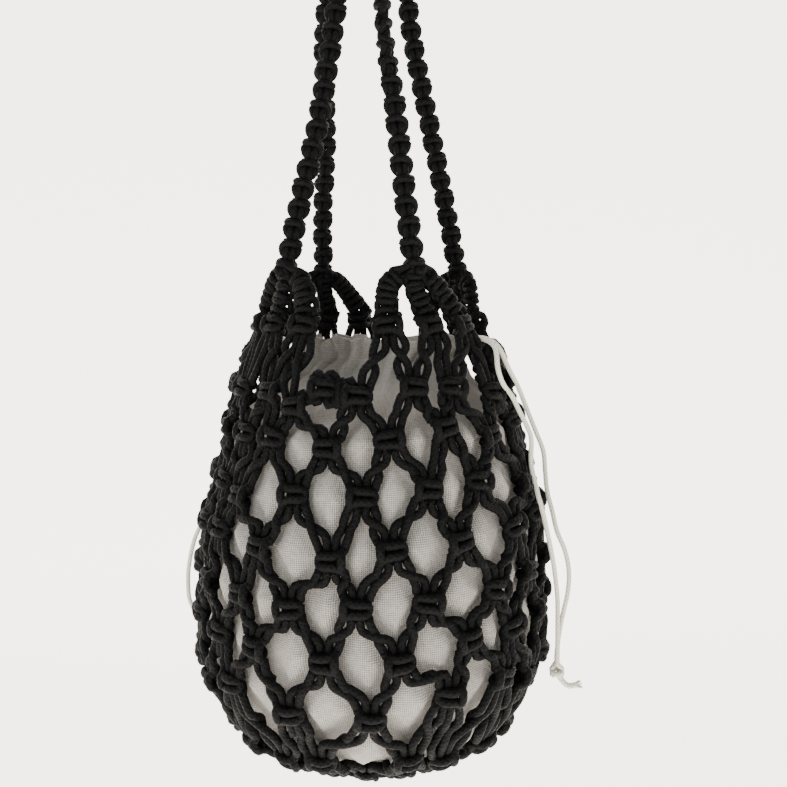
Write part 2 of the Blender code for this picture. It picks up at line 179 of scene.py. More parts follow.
@dataclass(frozen=True)
class Place:
    """Where a knot lies: its middle and its across, down and outward directions."""

    middle: Array
    across: Array
    down: Array
    outward: Array

    def at(self, points: Sequence[tuple[float, float, float]], size: float = 1.0) -> Array:
        """Turns points of the knot into points of the bag.

        Args:
            points: Across, down and outward, in millimetres.
            size: How large the knot is against its usual size.

        Returns:
            The points, in metres.
        """
        local = np.array(points) * (MM * size)
        axes = np.vstack((self.across, self.down, self.outward))
        return self.middle + local @ axes


# Cords as meshes


@dataclass
class CordMesh:
    """Gathers round cords into one mesh, with a map along and around each of them."""

    sides: int = 8
    vertices: list[Array] = field(default_factory=list)
    faces: list[Array] = field(default_factory=list)
    maps: list[Array] = field(default_factory=list)
    count: int = 0

    def add(self, line: Array, radius: float | Array, start: float = 0.0) -> None:
        """Adds a closed round cord.

        Args:
            line: The cord's middle line, one point a row.
            radius: Its radius, one for the whole cord or one for each point.
            start: Where the map along the cord begins.
        """
        along = np.gradient(line, axis=0)
        along /= np.linalg.norm(along, axis=1)[:, None]
        side = np.cross(along[0], UP)
        if np.linalg.norm(side) < NEARLY_UPRIGHT:
            side = np.cross(along[0], FRONT)
        sides = []
        for direction in along:
            side = unit(side - direction * side.dot(direction))
            sides.append(side)
        across = np.array(sides)
        up = np.cross(along, across)
        turns = np.arange(self.sides) * math.tau / self.sides
        radii = np.broadcast_to(np.asarray(radius, dtype=float), (len(line),))
        spread = np.cos(turns)[None, :, None] * across[:, None, :]
        spread = spread + np.sin(turns)[None, :, None] * up[:, None, :]
        rings = line[:, None, :] + radii[:, None, None] * spread
        self.vertices.append(rings.reshape(-1, 3))
        gaps = np.linalg.norm(np.diff(line, axis=0), axis=1)
        lengths = start + np.concatenate(((0.0,), np.cumsum(gaps)))
        self._skin(len(line), lengths)
        self.count += len(line) * self.sides

    def _skin(self, rings: int, lengths: Array) -> None:
        """Joins a cord's rings and closes its two ends.

        Args:
            rings: How many rings the cord has.
            lengths: The place of each ring along the cord.
        """
        sides = self.sides
        first = self.count + np.arange(rings - 1)[:, None] * sides
        here = np.arange(sides)[None, :]
        after = (here + 1) % sides
        quads = np.stack((first + here, first + after, first + sides + after, first + sides + here), axis=2)
        self.faces.append(quads.reshape(-1, 4))
        low = np.broadcast_to(lengths[:-1, None], (rings - 1, sides))
        high = np.broadcast_to(lengths[1:, None], (rings - 1, sides))
        near = np.broadcast_to(here / sides, (rings - 1, sides))
        far = near + 1.0 / sides
        corners = np.stack((low, near, low, far, high, far, high, near), axis=2)
        self.maps.append(corners.reshape(-1, 4, 2))
        for base, flip in ((self.count, True), (self.count + (rings - 1) * sides, False)):
            for i in range(sides // 2 - 1):
                quad = [base + i, base + i + 1, base + sides - 2 - i, base + sides - 1 - i]
                self.faces.append(np.array([quad[::-1] if flip else quad]))
                self.maps.append(np.full((1, 4, 2), lengths[0 if flip else -1]))

    def make(self, name: str, material: bpy.types.Material) -> bpy.types.Object:
        """Turns what was gathered into an object.

        Args:
            name: The piece's name.
            material: Its finish.

        Returns:
            The new object.
        """
        return new_piece(
            name,
            np.vstack(self.vertices),
            np.vstack(self.faces),
            np.vstack(self.maps),
            material,
        )


def new_piece(
    name: str, vertices: Array, faces: Array, maps: Array, material: bpy.types.Material
) -> bpy.types.Object:
    """Makes a smooth object of four-sided faces.

    Args:
        name: The piece's name.
        vertices: Its points, one a row.
        faces: Four point numbers a row.
        maps: The two map coordinates of each face's four corners.
        material: Its finish.

    Returns:
        The object, linked to the scene.
    """
    mesh = bpy.data.meshes.new(name)
    mesh.from_pydata(vertices.tolist(), [], faces.tolist())
    layer = mesh.uv_layers.new(name="cloth")
    layer.data.foreach_set("uv", maps.reshape(-1).astype(np.float32))
    mesh.shade_smooth()
    mesh.materials.append(material)
    piece = bpy.data.objects.new(name, mesh)
    bpy.context.scene.collection.objects.link(piece)
    return piece


def dress(piece: bpy.types.Object, slot: str, *nodes: str) -> None:
    """Fixes a piece to the bag in place of its CAD nodes.

    Args:
        piece: The piece.
        slot: The name of a material slot; not used.
        nodes: The CAD nodes that it stands for.
    """
    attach(piece, "root")
    if nodes:
        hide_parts(*nodes)
    LOG.info("%s: %d faces", piece.name, len(piece.data.polygons))


# Finishes

SHEEN_ROUGHNESS = 0.5
WANDER_SCALE = 260.0
SLUB_SCALE = 420.0
THREAD_LIFT = 0.25
GAP_SOFTNESS = 0.9
SLUB_SHARE = 0.5


class Group(Enum):
    """The effects that several finishes share."""

    BRAID = "braided_strands"
    WEAVE = "plain_weave"
    MOTTLE = "uneven_tone"


@dataclass
class EffectGroup:
    """Builds one shared shader group from its named inputs, outputs and nodes."""

    kind: Group
    inputs: dict[str, float]
    outputs: tuple[str, ...]
    tree: bpy.types.NodeTree = None
    entry: bpy.types.Node = None
    leave: bpy.types.Node = None

    def __post_init__(self) -> None:
        """Makes the group's sockets."""
        self.tree = bpy.data.node_groups.new(self.kind.value, "ShaderNodeTree")
        for name, value in self.inputs.items():
            socket = self.tree.interface.new_socket(
                name=name, in_out="INPUT", socket_type="NodeSocketFloat"
            )
            socket.default_value = value
        for name in self.outputs:
            self.tree.interface.new_socket(
                name=name, in_out="OUTPUT", socket_type="NodeSocketFloat"
            )
        self.entry = self.tree.nodes.new("NodeGroupInput")
        self.leave = self.tree.nodes.new("NodeGroupOutput")

    def math(self, operation: str, first: object, second: object = 0.0) -> object:
        """Adds a sum to the group.

        Args:
            operation: Blender's name for the sum.
            first: A socket or a number.
            second: A socket or a number.

        Returns:
            The socket with the result.
        """
        return add_math(self.tree, operation, first, second)


def add_math(tree: bpy.types.NodeTree, operation: str, first: object, second: object = 0.0) -> object:
    """Adds a Math node.

    Args:
        tree: Where it goes.
        operation: Blender's name for the sum.
        first: A socket or a number.
        second: A socket or a number.

    Returns:
        The socket with the result.
    """
    node = tree.nodes.new("ShaderNodeMath")
    node.operation = operation
    for socket, value in zip(node.inputs, (first, second)):
        if isinstance(value, (int, float)):
            socket.default_value = value
        else:
            tree.links.new(value, socket)
    return node.outputs[0]


def map_axes(tree: bpy.types.NodeTree) -> tuple[object, object]:
    """Adds the map's two coordinates.

    Args:
        tree: Where they go.

    Returns:
        The sockets for along and around.
    """
    source = tree.nodes.new("ShaderNodeUVMap")
    source.uv_map = "cloth"
    split = tree.nodes.new("ShaderNodeSeparateXYZ")
    tree.links.new(source.outputs["UV"], split.inputs[0])
    return split.outputs["X"], split.outputs["Y"]


def braid_group() -> bpy.types.NodeTree:
    """Builds the braid: strands that cross over each other round a cord.

    Returns:
        The group, with a height and a mask of painted shade in the grooves.
    """
    group = EffectGroup(Group.BRAID, {"Pitch": 0.004, "Strands": 4.0}, ("Height", "GrooveShade"))
    along, turn = map_axes(group.tree)
    pitch = group.entry.outputs["Pitch"]
    strands = group.entry.outputs["Strands"]
    run = group.math("MULTIPLY", group.math("DIVIDE", along, pitch), math.tau)
    lap = group.math("MULTIPLY", group.math("MULTIPLY", turn, strands), math.tau)
    right = group.math("SINE", group.math("ADD", run, lap))
    left = group.math("SINE", group.math("SUBTRACT", run, lap))
    high = group.math("MAXIMUM", right, left)
    height = group.math("ADD", group.math("MULTIPLY", high, 0.5), 0.5)
    # Painted shade: the grooves between the strands are darkened in colour
    groove_shade = group.math("SUBTRACT", 1.0, group.math("MINIMUM", height, 1.0))
    group.tree.links.new(height, group.leave.inputs["Height"])
    group.tree.links.new(groove_shade, group.leave.inputs["GrooveShade"])
    return group.tree


def weave_group() -> bpy.types.NodeTree:
    """Builds the plain weave: threads that go over and under each other.

    Returns:
        The group, with a height and a mask of painted shade in the holes between threads, plus random slub
        tone.
    """
    group = EffectGroup(Group.WEAVE, {"Pitch": 0.001, "Unevenness": 0.2, "Contrast": 1.0}, ("Height", "GapShadeAndSlub"))
    along, across = map_axes(group.tree)
    noise = group.tree.nodes.new("ShaderNodeTexNoise")
    noise.inputs["Scale"].default_value = WANDER_SCALE
    noise.inputs["Detail"].default_value = 1.0
    source = group.tree.nodes.new("ShaderNodeUVMap")
    source.uv_map = "cloth"
    group.tree.links.new(source.outputs["UV"], noise.inputs["Vector"])
    wander = group.math("SUBTRACT", noise.outputs["Fac"], 0.5)
    wander = group.math("MULTIPLY", wander, group.entry.outputs["Unevenness"])
    pitch = group.entry.outputs["Pitch"]
    waves = []
    for axis in (along, across):
        share = group.math("ADD", group.math("DIVIDE", axis, pitch), wander)
        waves.append(group.math("SINE", group.math("MULTIPLY", share, math.pi)))
    warp = group.math("ABSOLUTE", waves[0])
    weft = group.math("ABSOLUTE", waves[1])
    over = group.math("MULTIPLY", waves[0], waves[1])
    side = group.math("ADD", group.math("MULTIPLY", group.math("SIGN", over), THREAD_LIFT), 0.5)
    lifted = group.math("MULTIPLY", warp, side)
    sunk = group.math("MULTIPLY", weft, group.math("SUBTRACT", 1.0, side))
    height = group.math("ADD", lifted, sunk)
    # Painted shade: the holes between the threads are darkened in colour
    gap = group.math("POWER", group.math("SUBTRACT", 1.0, group.math("MAXIMUM", warp, weft)), GAP_SOFTNESS)
    slub = group.tree.nodes.new("ShaderNodeTexNoise")
    slub.inputs["Scale"].default_value = SLUB_SCALE
    slub.inputs["Detail"].default_value = 2.0
    group.tree.links.new(source.outputs["UV"], slub.inputs["Vector"])
    # Random slub tone is added on top of the painted gap shade
    gap = group.math("ADD", gap, group.math("MULTIPLY", slub.outputs["Fac"], SLUB_SHARE))
    gap = group.math("MINIMUM", group.math("MULTIPLY", gap, group.entry.outputs["Contrast"]), 1.0)
    group.tree.links.new(height, group.leave.inputs["Height"])
    group.tree.links.new(gap, group.leave.inputs["GapShadeAndSlub"])
    return group.tree


def mottle_group() -> bpy.types.NodeTree:
    """Builds a slow change of tone over the whole bag.

    Returns:
        The group, with one share from 0 to 1.
    """
    group = EffectGroup(Group.MOTTLE, {"Scale": 30.0, "Detail": 3.0}, ("Share",))
    place = group.tree.nodes.new("ShaderNodeTexCoord")
    noise = group.tree.nodes.new("ShaderNodeTexNoise")
    group.tree.links.new(place.outputs["Object"], noise.inputs["Vector"])
    group.tree.links.new(group.entry.outputs["Scale"], noise.inputs["Scale"])
    group.tree.links.new(group.entry.outputs["Detail"], noise.inputs["Detail"])
    group.tree.links.new(noise.outputs["Fac"], group.leave.inputs["Share"])
    return group.tree


@dataclass(frozen=True)
class Finish:
    """A textile finish: two tones that a mottle mixes, a relief whose hollows are darkened with painted
    shade, and a sheen.
    """

    name: str
    light: tuple[float, float, float]
    dark: tuple[float, float, float]
    relief: Group
    relief_values: dict[str, float]
    hollow_shade_mask: str
    hollow_shade_tone: tuple[float, float, float]
    depth: float
    mottle_scale: float
    roughness: float
    sheen: float
    specular: float

    def material(self, groups: dict[Group, bpy.types.NodeTree]) -> bpy.types.Material:
        """Builds the material.

        Args:
            groups: The shared effects.

        Returns:
            The material.
        """
        material = bpy.data.materials.new(self.name)
        material.use_nodes = True
        tree = material.node_tree
        shader = tree.nodes["Principled BSDF"]
        shader.inputs["Roughness"].default_value = self.roughness
        shader.inputs["Sheen Weight"].default_value = self.sheen
        shader.inputs["Sheen Roughness"].default_value = SHEEN_ROUGHNESS
        shader.inputs["Specular IOR Level"].default_value = self.specular
        relief = self._place(tree, groups[self.relief], self.relief_values)
        mottle = self._place(tree, groups[Group.MOTTLE], {"Scale": self.mottle_scale})
        tone = self._mix(tree, mottle.outputs["Share"], self.dark, self.light)
        # Painted shade: the relief's hollows mix the tone towards a darker colour
        shaded = self._mix(tree, relief.outputs[self.hollow_shade_mask], tone, self.hollow_shade_tone)
        tree.links.new(shaded, shader.inputs["Base Color"])
        bump = tree.nodes.new("ShaderNodeBump")
        bump.inputs["Strength"].default_value = 1.0
        bump.inputs["Distance"].default_value = self.depth
        tree.links.new(relief.outputs["Height"], bump.inputs["Height"])
        tree.links.new(bump.outputs["Normal"], shader.inputs["Normal"])
        return material

    def _place(
        self, tree: bpy.types.NodeTree, group: bpy.types.NodeTree, values: dict[str, float]
    ) -> bpy.types.Node:
        """Places a shared effect with its own values.

        Args:
            tree: The material's nodes.
            group: The shared effect.
            values: The values of its inputs.

        Returns:
            The group's node.
        """
        node = tree.nodes.new("ShaderNodeGroup")
        node.node_tree = group
        for name, value in values.items():
            node.inputs[name].default_value = value
        return node

    def _mix(self, tree: bpy.types.NodeTree, share: object, first: object, second: object) -> object:
        """Mixes two colours.

        Args:
            tree: The material's nodes.
            share: The socket that mixes them.
            first: A socket or a colour, shown at share 0.
            second: A socket or a colour, shown at share 1.

        Returns:
            The socket with the colour.
        """
        node = tree.nodes.new("ShaderNodeMix")
        node.data_type = "RGBA"
        tree.links.new(share, node.inputs[0])
        for socket, value in zip((node.inputs[6], node.inputs[7]), (first, second)):
            if isinstance(value, tuple):
                socket.default_value = (*value, 1.0)
            else:
                tree.links.new(value, socket)
        return node.outputs[2]


BLACK_CORD = Finish(
    name="black_cord",
    light=(0.0034, 0.0035, 0.0035),
    dark=(0.0019, 0.0020, 0.0021),
    relief=Group.BRAID,
    relief_values={"Pitch": 0.0030, "Strands": 4.0},
    hollow_shade_mask="GrooveShade",
    # Painted shade in the braid's grooves
    hollow_shade_tone=(0.0012, 0.0012, 0.0013),
    depth=0.00035,
    mottle_scale=60.0,
    roughness=0.68,
    sheen=0.0,
    specular=0.10,
)
LINEN = Finish(
    name="linen",
    light=(0.62, 0.585, 0.535),
    dark=(0.46, 0.43, 0.39),
    relief=Group.WEAVE,
    relief_values={"Pitch": 0.0011, "Unevenness": 0.35},
    hollow_shade_mask="GapShadeAndSlub",
    # Painted shade in the gaps between threads; its mask also adds random slub tone
    hollow_shade_tone=(0.10, 0.092, 0.080),
    depth=0.00045,
    mottle_scale=45.0,
    roughness=0.9,
    sheen=0.08,
    specular=0.2,
)
CREAM_CORD = Finish(
    name="cream_cord",
    light=(0.80, 0.77, 0.66),
    dark=(0.70, 0.67, 0.57),
    relief=Group.BRAID,
    relief_values={"Pitch": 0.0026, "Strands": 4.0},
    hollow_shade_mask="GrooveShade",
    # Painted shade in the braid's grooves
    hollow_shade_tone=(0.45, 0.42, 0.34),
    depth=0.00030,
    mottle_scale=80.0,
    roughness=0.75,
    sheen=0.10,
    specular=0.3,
)


# The bag's shape, as in the part


@dataclass(frozen=True)
class BagShape:
    """The sizes that all the pieces share, and the net's surface."""

    strap_drop: float = 0.270
    body_height: float = 0.296
    body_radius: float = 0.103
    collar_radius: float = 0.064
    knots_round: int = 18
    front_turn: float = math.radians(-13.0)
    lean: float = 0.0045
    knot_height: float = 0.0126
    rows: tuple[tuple[float, float], ...] = (
        (0.117, 0.670),
        (0.237, 0.794),
        (0.312, 0.844),
        (0.404, 0.902),
        (0.492, 0.970),
        (0.588, 0.996),
        (0.672, 1.000),
        (0.781, 0.985),
        (0.900, 0.800),
        (0.958, 0.575),
    )

    @property
    def last_row(self) -> int:
        """The number of the lowest row."""
        return len(self.rows) - 1

    def around(self, radius: float, azimuth: float, depth: float) -> Array:
        """Finds a point from its radius, azimuth and depth.

        Args:
            radius: Its distance from the bag's axis.
            azimuth: Its turn from the front.
            depth: How far it lies below the collar.

        Returns:
            The point.
        """
        height = -self.strap_drop - depth
        return np.array((radius * math.sin(azimuth), -radius * math.cos(azimuth), height))

    def profile(self, row: float) -> Array:
        """Returns the net's radius and depth at a row, which may lie between two rows."""
        sizes = np.array([(r * self.body_radius, d * self.body_height) for d, r in self.rows])
        return spline(sizes, row)

    def lean_at(self, row: float) -> float:
        """Returns how far the net leans at a row."""
        return self.lean * math.sin(math.pi * min(max(row / self.last_row, 0.0), 1.0))

    def net_point(self, row: float, azimuth: float, outward: float = 0.0) -> Array:
        """Finds a point on the net's middle surface or off it.

        Args:
            row: The row, which may lie between two rows.
            azimuth: The turn from the front.
            outward: How far off the surface.

        Returns:
            The point.
        """
        radius, depth = self.profile(row)
        slope = unit(self.profile(row + SLOPE_STEP) - self.profile(row - SLOPE_STEP))
        depth -= self.lean_at(row) * math.sin(azimuth) + outward * slope[0]
        return self.around(radius + outward * slope[1], azimuth, depth)

    def net_place(self, row: float, azimuth: float, outward: float = 0.0) -> Place:
        """Finds a place on the net with its directions.

        Args:
            row: The row, which may lie between two rows.
            azimuth: The turn from the front.
            outward: How far off the surface.

        Returns:
            The place.
        """
        middle = self.net_point(row, azimuth, outward)
        below = self.net_point(row + PLACE_STEP, azimuth)
        down = unit(below - self.net_point(row - PLACE_STEP, azimuth))
        across = np.array((math.cos(azimuth), math.sin(azimuth), 0.0))
        across = unit(across - down * across.dot(down))
        return Place(middle, across, down, unit(np.cross(across, down)) * -1.0)

    def rows_long(self, length: float, row: float) -> float:
        """Returns how many rows a length down the net spans at a row."""
        step = self.profile(row + LENGTH_STEP) - self.profile(row - LENGTH_STEP)
        return length * 2.0 * LENGTH_STEP / float(np.linalg.norm(step))

    def knot_azimuth(self, row: int, index: int) -> float:
        """Returns a knot's azimuth. Odd rows lie half a space further round."""
        return self.front_turn + (index + 0.5 * (row % 2)) * math.tau / self.knots_round


SHAPE = BagShape()


# Square knots


class Bar(Enum):
    """The side of a square knot that shows its upright bar."""

    LEFT = 1
    RIGHT = -1


@dataclass(frozen=True)
class SquareKnot:
    """A square knot of four cords: two that lie still in the middle and two that are tied round them.

    The two that are tied are given down to the knot's middle, and their lower halves mirror the upper ones.
    """

    cord_size: float = 0.0047
    half_height: float = 6.3
    still_across: float = 2.2
    worker_across: float = 6.9
    front_wraps: tuple[tuple[float, float, float], ...] = (
        (-6.9, -6.3, 0.3),
        (-6.1, -4.6, 1.6),
        (-3.5, -3.2, 3.2),
        (0.0, -2.6, 3.9),
        (3.6, -2.7, 3.3),
        (6.2, -2.1, 1.2),
        (6.6, 0.0, 0.3),
    )
    back_wraps: tuple[tuple[float, float, float], ...] = (
        (6.9, -6.3, 0.1),
        (6.6, -4.6, -0.5),
        (4.9, -3.2, -2.2),
        (1.8, -2.6, -3.2),
        (-1.8, -2.7, -3.2),
        (-4.4, -3.6, -1.5),
        (-5.2, -4.4, 1.4),
        (-5.9, -2.9, 3.9),
        (-6.1, 0.0, 4.3),
    )

    def still(self, side: float) -> Array:
        """Returns the points of the left or the right middle cord."""
        return np.array([(side * self.still_across, y, 0.1) for y in (-6.6, -3.0, 0.0, 3.0, 6.6)])

    def wrap(self, half: Sequence[tuple[float, float, float]], side: int = 1) -> Array:
        """Finds the points of a cord that is tied round the middle ones.

        Args:
            half: Its upper half.
            side: 1 as given, or -1 swapped left to right.

        Returns:
            The points, one a row.
        """
        upper = np.array(half)
        lower = upper[-2::-1] * np.array((1.0, -1.0, 1.0))
        return np.vstack((upper, lower)) * np.array((side, 1.0, 1.0))

    def tie(self, mesh: CordMesh, place: Place, bar: Bar, size: float = 1.0) -> None:
        """Adds the knot to a mesh.

        Args:
            mesh: Where it goes.
            place: Where the knot lies.
            bar: The side of its upright bar.
            size: How large it is against its usual size.
        """
        radius = 0.5 * self.cord_size * size
        for side in (-1.0, 1.0):
            mesh.add(smooth_line(place.at(self.still(side), size), STILL_STEP), radius)
        for strand in (self.front_wraps, self.back_wraps):
            points = self.wrap(strand, bar.value)
            mesh.add(smooth_line(place.at(points, size), WRAP_STEP), radius)

    def corner(self, place: Place, side: float, low: bool, worker: bool) -> Array:
        """Finds where a cord leaves the knot.

        Args:
            place: Where the knot lies.
            side: -1 for its left side, 1 for its right.
            low: Whether the cord leaves at the foot.
            worker: Whether the cord is one of the two that are tied.

        Returns:
            The point.
        """
        across = self.worker_across if worker else self.still_across
        down = self.half_height if low else -self.half_height
        return place.at([(side * across, down, 0.2)])[0]


KNOT = SquareKnot()


class Band(Enum):
    """The parts of the net that are pieces of their own, with their first and last rows."""

    UPPER = (0, 2)
    MIDDLE = (3, 5)
    LOWER = (6, 9)


@dataclass
class Net:
    """The net: rows of square knots whose cords part below each knot and meet the next ones."""

    material: bpy.types.Material
    dips: tuple[int, ...] = (0, 4, 5, 9, 13, 14)
    dip_row: float = 0.56
    sunk: float = 0.0026
    small: float = 0.86
    tilt: float = 0.17
    tilt_waves: tuple[float, float] = (3.1, 5.7)
    crossing_lift: float = 0.0018
    twisted_lift: float = 0.0004
    twisted_space: float = 0.45
    hidden_end: float = 0.0014
    worker_leaves: tuple[float, float, float] = (0.80, 0.45, 0.07)
    still_leaves: tuple[float, float] = (0.75, 0.45)
    leave_share: float = 0.27
    def spot(self, row: int, index: int) -> tuple[float, float]:
        """Finds where a knot lies on the net, with the listed moves.

        Args:
            row: The knot's row.
            index: Its number in the row.

        Returns:
            The row, which may lie between two rows, and the azimuth.
        """
        place = self.dip_row if row == 0 and index in self.dips else float(row)
        azimuth = SHAPE.knot_azimuth(row, index)
        if (row, index) in NUDGES:
            turn, drop = NUDGES[row, index]
            azimuth += math.radians(turn)
            fall = drop * MM + SHAPE.lean_at(row) * math.sin(azimuth)
            place += SHAPE.rows_long(fall, row)
        return place, azimuth

    def place(self, row: int, index: int) -> Place:
        """Returns a knot's place."""
        sunk = self.sunk if row == SHAPE.last_row else 0.0
        straight = SHAPE.net_place(*self.spot(row, index), -sunk)
        tilt = self.tilt * math.sin(self.tilt_waves[0] * row + self.tilt_waves[1] * index)
        across = math.cos(tilt) * straight.across + math.sin(tilt) * straight.down
        down = math.cos(tilt) * straight.down - math.sin(tilt) * straight.across
        return Place(straight.middle, across, down, straight.outward)

    def links(self, row: int, index: int) -> list[tuple[int, int]]:
        """Lists the knots below a knot.

        Args:
            row: The knot's row.
            index: Its number in the row.

        Returns:
            The side, -1 for left and 1 for right, and the lower knot's number.
        """
        right = (index + row % 2) % SHAPE.knots_round
        return [(-1, (right - 1) % SHAPE.knots_round), (1, right)]

    def pair(
        self, mesh: CordMesh, upper: Place, lower: Place, side: int, crossed: bool, front: float
    ) -> None:
        """Adds the two cords between two knots, which part near the knots and meet halfway.

        Args:
            mesh: Where they go.
            upper: The upper knot's place.
            lower: The lower knot's place.
            side: 1 where the cords go down to the right, -1 where they go down to the left.
            crossed: Whether the two cross each other halfway.
            front: 1 where the outer cord passes in front, -1 where it passes behind.
        """
        top = {outer: KNOT.corner(upper, side, True, outer) for outer in (True, False)}
        foot = {outer: KNOT.corner(lower, -side, False, outer) for outer in (True, False)}
        run = 0.5 * (foot[True] + foot[False] - top[True] - top[False])
        halfway = 0.5 * (top[True] + top[False] + run)
        length = float(np.linalg.norm(run))
        slant = unit(run)
        outward = unit(upper.outward + lower.outward)
        beside = np.cross(slant, outward)
        beside *= np.sign(beside.dot(upper.across)) * side
        for outer in (True, False):
            ending = outer if crossed else not outer
            start, end = top[outer], foot[ending]
            leave = self.bow(upper, slant, side, outer) * length
            enter = self.bow(lower, slant, side, ending) * length
            middle = halfway.copy()
            sign = 1.0 if outer else -1.0
            if crossed:
                middle += outward * (sign * front * self.crossing_lift)
            else:
                middle += beside * (sign * self.twisted_space * KNOT.cord_size)
                middle += outward * (sign * front * self.twisted_lift)
            inside = self.hidden_end * (upper.down + 0.3 * side * upper.across)
            within = self.hidden_end * (lower.down + 0.3 * side * lower.across)
            line = np.array((start - inside, start, start + leave, middle, end - enter, end, end + within))
            mesh.add(smooth_line(line, CORD_STEP), 0.5 * KNOT.cord_size)

    def bow(self, place: Place, slant: Array, side: int, worker: bool) -> Array:
        """Finds which way a cord leaves a knot, for a gap one long.

        Args:
            place: The knot's place.
            slant: The direction from the upper to the lower knot.
            side: 1 where the cords go down to the right, -1 where they go down to the left.
            worker: Whether the cord is one of the two that are tied.

        Returns:
            The way, whose length is a share of the gap.
        """
        if worker:
            down, along, apart = self.worker_leaves
            way = unit(down * place.down + along * slant)
            return self.leave_share * way + apart * side * place.across
        down, along = self.still_leaves
        return self.leave_share * unit(down * place.down + along * slant)

    def picots(self, mesh: CordMesh, place: Place) -> None:
        """Adds the two round loops that stand on a dip knot.

        Args:
            mesh: Where they go.
            place: The knot's place.
        """
        for side in (-1.0, 1.0):
            loop = [
                (side * 1.9, -3.6, 1.0),
                (side * 1.7, -6.6, 2.4),
                (side * 3.8, -8.4, 1.2),
                (side * 6.0, -6.8, 0.0),
                (side * 5.4, -4.2, 0.0),
                (side * 3.4, -4.0, 2.6),
                (side * 3.6, -6.4, 2.8),
            ]
            mesh.add(smooth_line(place.at(loop), 0.0016), 0.5 * KNOT.cord_size)

    def build(self) -> list[bpy.types.Object]:
        """Builds and dresses the net's pieces.

        Returns:
            The pieces.
        """
        pieces = []
        for band in Band:
            mesh = CordMesh()
            first, last = band.value
            for row in range(first, last + 1):
                for index in range(SHAPE.knots_round):
                    self._knot_and_cords(mesh, row, index)
            piece = mesh.make(f"net_{band.name.lower()}", self.material)
            dress(piece, "black_cord", "net")
            pieces.append(piece)
        return pieces

    def _knot_and_cords(self, mesh: CordMesh, row: int, index: int) -> None:
        """Adds a knot and the cords that leave its foot.

        Args:
            mesh: Where they go.
            row: The knot's row.
            index: Its number in the row.
        """
        here = self.place(row, index)
        # Each knot was tied either way round, so the sides follow a fixed scatter
        bar = Bar.LEFT if (3 * row + 5 * index) % 7 < 4 else Bar.RIGHT
        KNOT.tie(mesh, here, bar, self.small if row == SHAPE.last_row else 1.0)
        if row == 0 and index in self.dips:
            self.picots(mesh, here)
        if row == SHAPE.last_row:
            return
        for side, number in self.links(row, index):
            odd = (5 * row + 3 * index + side) % 8
            self.pair(mesh, here, self.place(row + 1, number), side, odd < 6, 1.0 if odd % 2 else -1.0)


# Chains of knots


@dataclass(frozen=True)
class KnotChain:
    """A chain of half knots: two middle cords that bulge below each band, and two that loop round them."""

    cord_size: float = 0.0042
    pitch: float = 0.0121
    still_step: float = 0.0019
    loop_step: float = 0.0016
    still: tuple[tuple[float, float, float], ...] = (
        (1.30, -5.2, 0.3),
        (1.60, -3.2, -0.6),
        (1.95, -0.6, 0.6),
        (2.00, 1.4, 1.7),
        (1.65, 3.6, 1.6),
    )
    front_loop: tuple[tuple[float, float, float], ...] = (
        (-1.4, -5.6, -2.2),
        (-4.2, -4.6, -1.0),
        (-4.8, -3.0, 1.2),
        (-2.6, -2.9, 3.0),
        (0.0, -3.0, 3.7),
        (2.6, -2.8, 3.1),
        (4.6, -1.6, 1.3),
        (4.7, 0.6, 0.0),
        (3.8, 2.7, -1.0),
        (1.8, 4.4, -2.2),
    )
    back_loop: tuple[tuple[float, float, float], ...] = (
        (1.4, -5.6, -2.6),
        (4.0, -4.4, -2.2),
        (3.2, -2.8, -3.0),
        (0.0, -2.6, -3.4),
        (-3.2, -2.0, -3.0),
        (-4.8, -0.9, -0.6),
        (-4.7, 1.1, 0.6),
        (-3.7, 3.0, -0.4),
        (-1.8, 4.5, -2.0),
    )

    def tie(self, mesh: CordMesh, places: Sequence[Place]) -> None:
        """Adds the chain to a mesh as four cords that run its whole length.

        Args:
            mesh: Where it goes.
            places: The places of its knots, from its top down.
        """
        radius = 0.5 * self.cord_size
        for side in (-1.0, 1.0):
            points = [place.at(np.array(self.still) * np.array((side, 1.0, 1.0))) for place in places]
            mesh.add(smooth_line(np.vstack(points), self.still_step), radius)
        for strand in (self.front_loop, self.back_loop):
            points = []
            for number, place in enumerate(places):
                side = 1.0 if number % 2 else -1.0
                points.append(place.at(np.array(strand) * np.array((side, 1.0, 1.0))))
            mesh.add(smooth_line(np.vstack(points), self.loop_step), radius)


CHAIN = KnotChain()


@dataclass(frozen=True)
class Leg:
    """One side of a handle: its foot's azimuth, how far it bows at set heights, and its twist."""

    azimuth: float
    bows: tuple[float, float, float, float]
    twist_start: float
    twist_end: float


